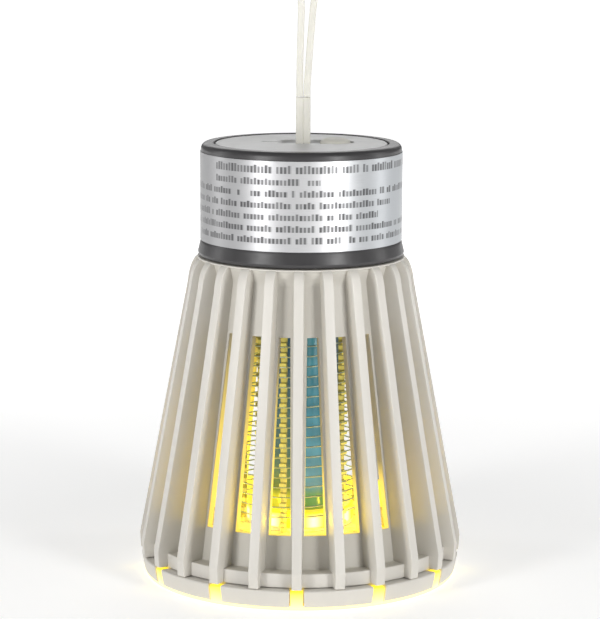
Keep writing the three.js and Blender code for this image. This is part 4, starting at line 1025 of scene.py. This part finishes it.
# ------------------------------------------------------------------ lamp column and grid
def make_grid():
    post = rod(0.9, POST_AT, 0, GRID_FOOT_TOP - 0.5, GRID_RING_BOTTOM + 0.5, 32)
    tooth = block(POST_AT + 0.2, GRID_R - 0.3, -0.95, 0.95, -0.5, 0.5, 0.2)
    teeth = together(*(
        shifted(tooth, z=GRID_BOTTOM + GRID_GAP * (k + 0.5)) for k in range(2 * GRID_TURNS + 1)
    ))
    body = new_object("grid", lathe(rounded([
        (0, GRID_FOOT_BOTTOM, 0), (18.6, GRID_FOOT_BOTTOM, 0.3), (19.4, GRID_FOOT_BOTTOM + 0.8, 0.3),
        (19.4, GRID_FOOT_TOP, 0.3), (9.0, GRID_FOOT_TOP, 0.3), (9.0, 22.2, 0.4), (0, 22.2, 0),
    ]), 128))
    ring = lathe(rounded([
        (GRID_RING_INNER, GRID_RING_BOTTOM), (18.3, GRID_RING_BOTTOM),
        (18.3, GRID_RING_TOP), (GRID_RING_INNER, GRID_RING_TOP),
    ], 0.4), 128)
    posts = around(POST_COUNT, POST_PHASE)
    combine(body, "UNION", ring_of(post, posts), ring, ring_of(teeth, posts))
    leads = [POST_PHASE + math.pi / 6, POST_PHASE + math.pi / 6 + math.pi]
    holes = together(*(rod(1.1, LEAD_AT * math.cos(a), LEAD_AT * math.sin(a), 83, 89) for a in leads))
    combine(body, "DIFFERENCE", holes, rod(0.95, 0, 0, GRID_FOOT_BOTTOM - 1, GRID_FOOT_TOP - 0.6))
    piece("grid_comb_frame", body, "upper_unit", INSULATOR, "grid_frame", 35)


def make_electrode(name, node, start):
    per_turn = 60
    path = []
    for i in range(per_turn * GRID_TURNS + 1):
        a = POST_PHASE + TURN * i / per_turn
        z = GRID_BOTTOM + start + 2 * GRID_GAP * i / per_turn
        path.append((GRID_R * math.cos(a), GRID_R * math.sin(a), z))
    piece(name, sweep(path, circle(WIRE / 2, 8)), "upper_unit", WIRE_METAL, node, 60)


def make_lamp():
    tube = lathe(rounded([
        (LAMP_INNER, LAMP_BOTTOM), (LAMP_R, LAMP_BOTTOM), (LAMP_R, LAMP_TOP), (LAMP_INNER, LAMP_TOP),
    ], 0.25), 128)
    piece("lamp_tube_lit", tube, "upper_unit", LAMP, "lamp_tube")


def make_collar():
    """A cap over the ring of yellow LEDs, open below."""
    outer, inner = COLLAR_GLOW_R, COLLAR_GLOW_R - 0.5
    bottom, top, under = GRID_FOOT_TOP + 1.1, COLLAR_GLOW_TOP, COLLAR_GLOW_TOP - 0.8
    collar = lathe(rounded([
        (GRID_RING_INNER, under, 0.2), (inner, under, 0.2), (inner, bottom, 0.15),
        (outer, bottom, 0.15), (outer, top, 0.7), (GRID_RING_INNER, top, 0.25),
    ]), 128)
    piece("glow_collar_lit", collar, "upper_unit", COLLAR_GLOW, "glow_collar")


make_grid()
make_electrode("wire_live", "electrode_live", 0.0)
make_electrode("wire_return", "electrode_return", GRID_GAP)
make_lamp()
make_collar()
make_inner_light("led_throw", 18.5, 19.9, 0.03, (1.0, 0.72, 0.02))

# ------------------------------------------------------------------ CAD nodes that keep their shape
CARRIED = {
    BLACK: ["chassis", "core_tube", "control_chip", "tact_switch", "hv_lead_2"],
    STEEL: ["usb_socket", "battery_tab", "battery_spring", "foot_screw"]
    + [f"{kind}_screw_{i}" for kind in ("chassis", "board") for i in (1, 2, 3)],
    BOARD: ["circuit_board"],
    WHITE_BOARD: ["glow_led_board", "downlight_board"] + [f"uv_led_strip_{i}" for i in (1, 2, 3, 4)],
    FERRITE: ["hv_transformer"],
    FILM: ["hv_capacitor"],
    COVER: ["switch_plunger"],
    LENS: ["status_led"],
    CELL: ["battery_cell"],
    RED_LEAD: ["hv_lead_1"],
}
for material, names in CARRIED.items():
    for node in names:
        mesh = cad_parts[node].data
        mesh.materials.clear()
        mesh.materials.append(material)
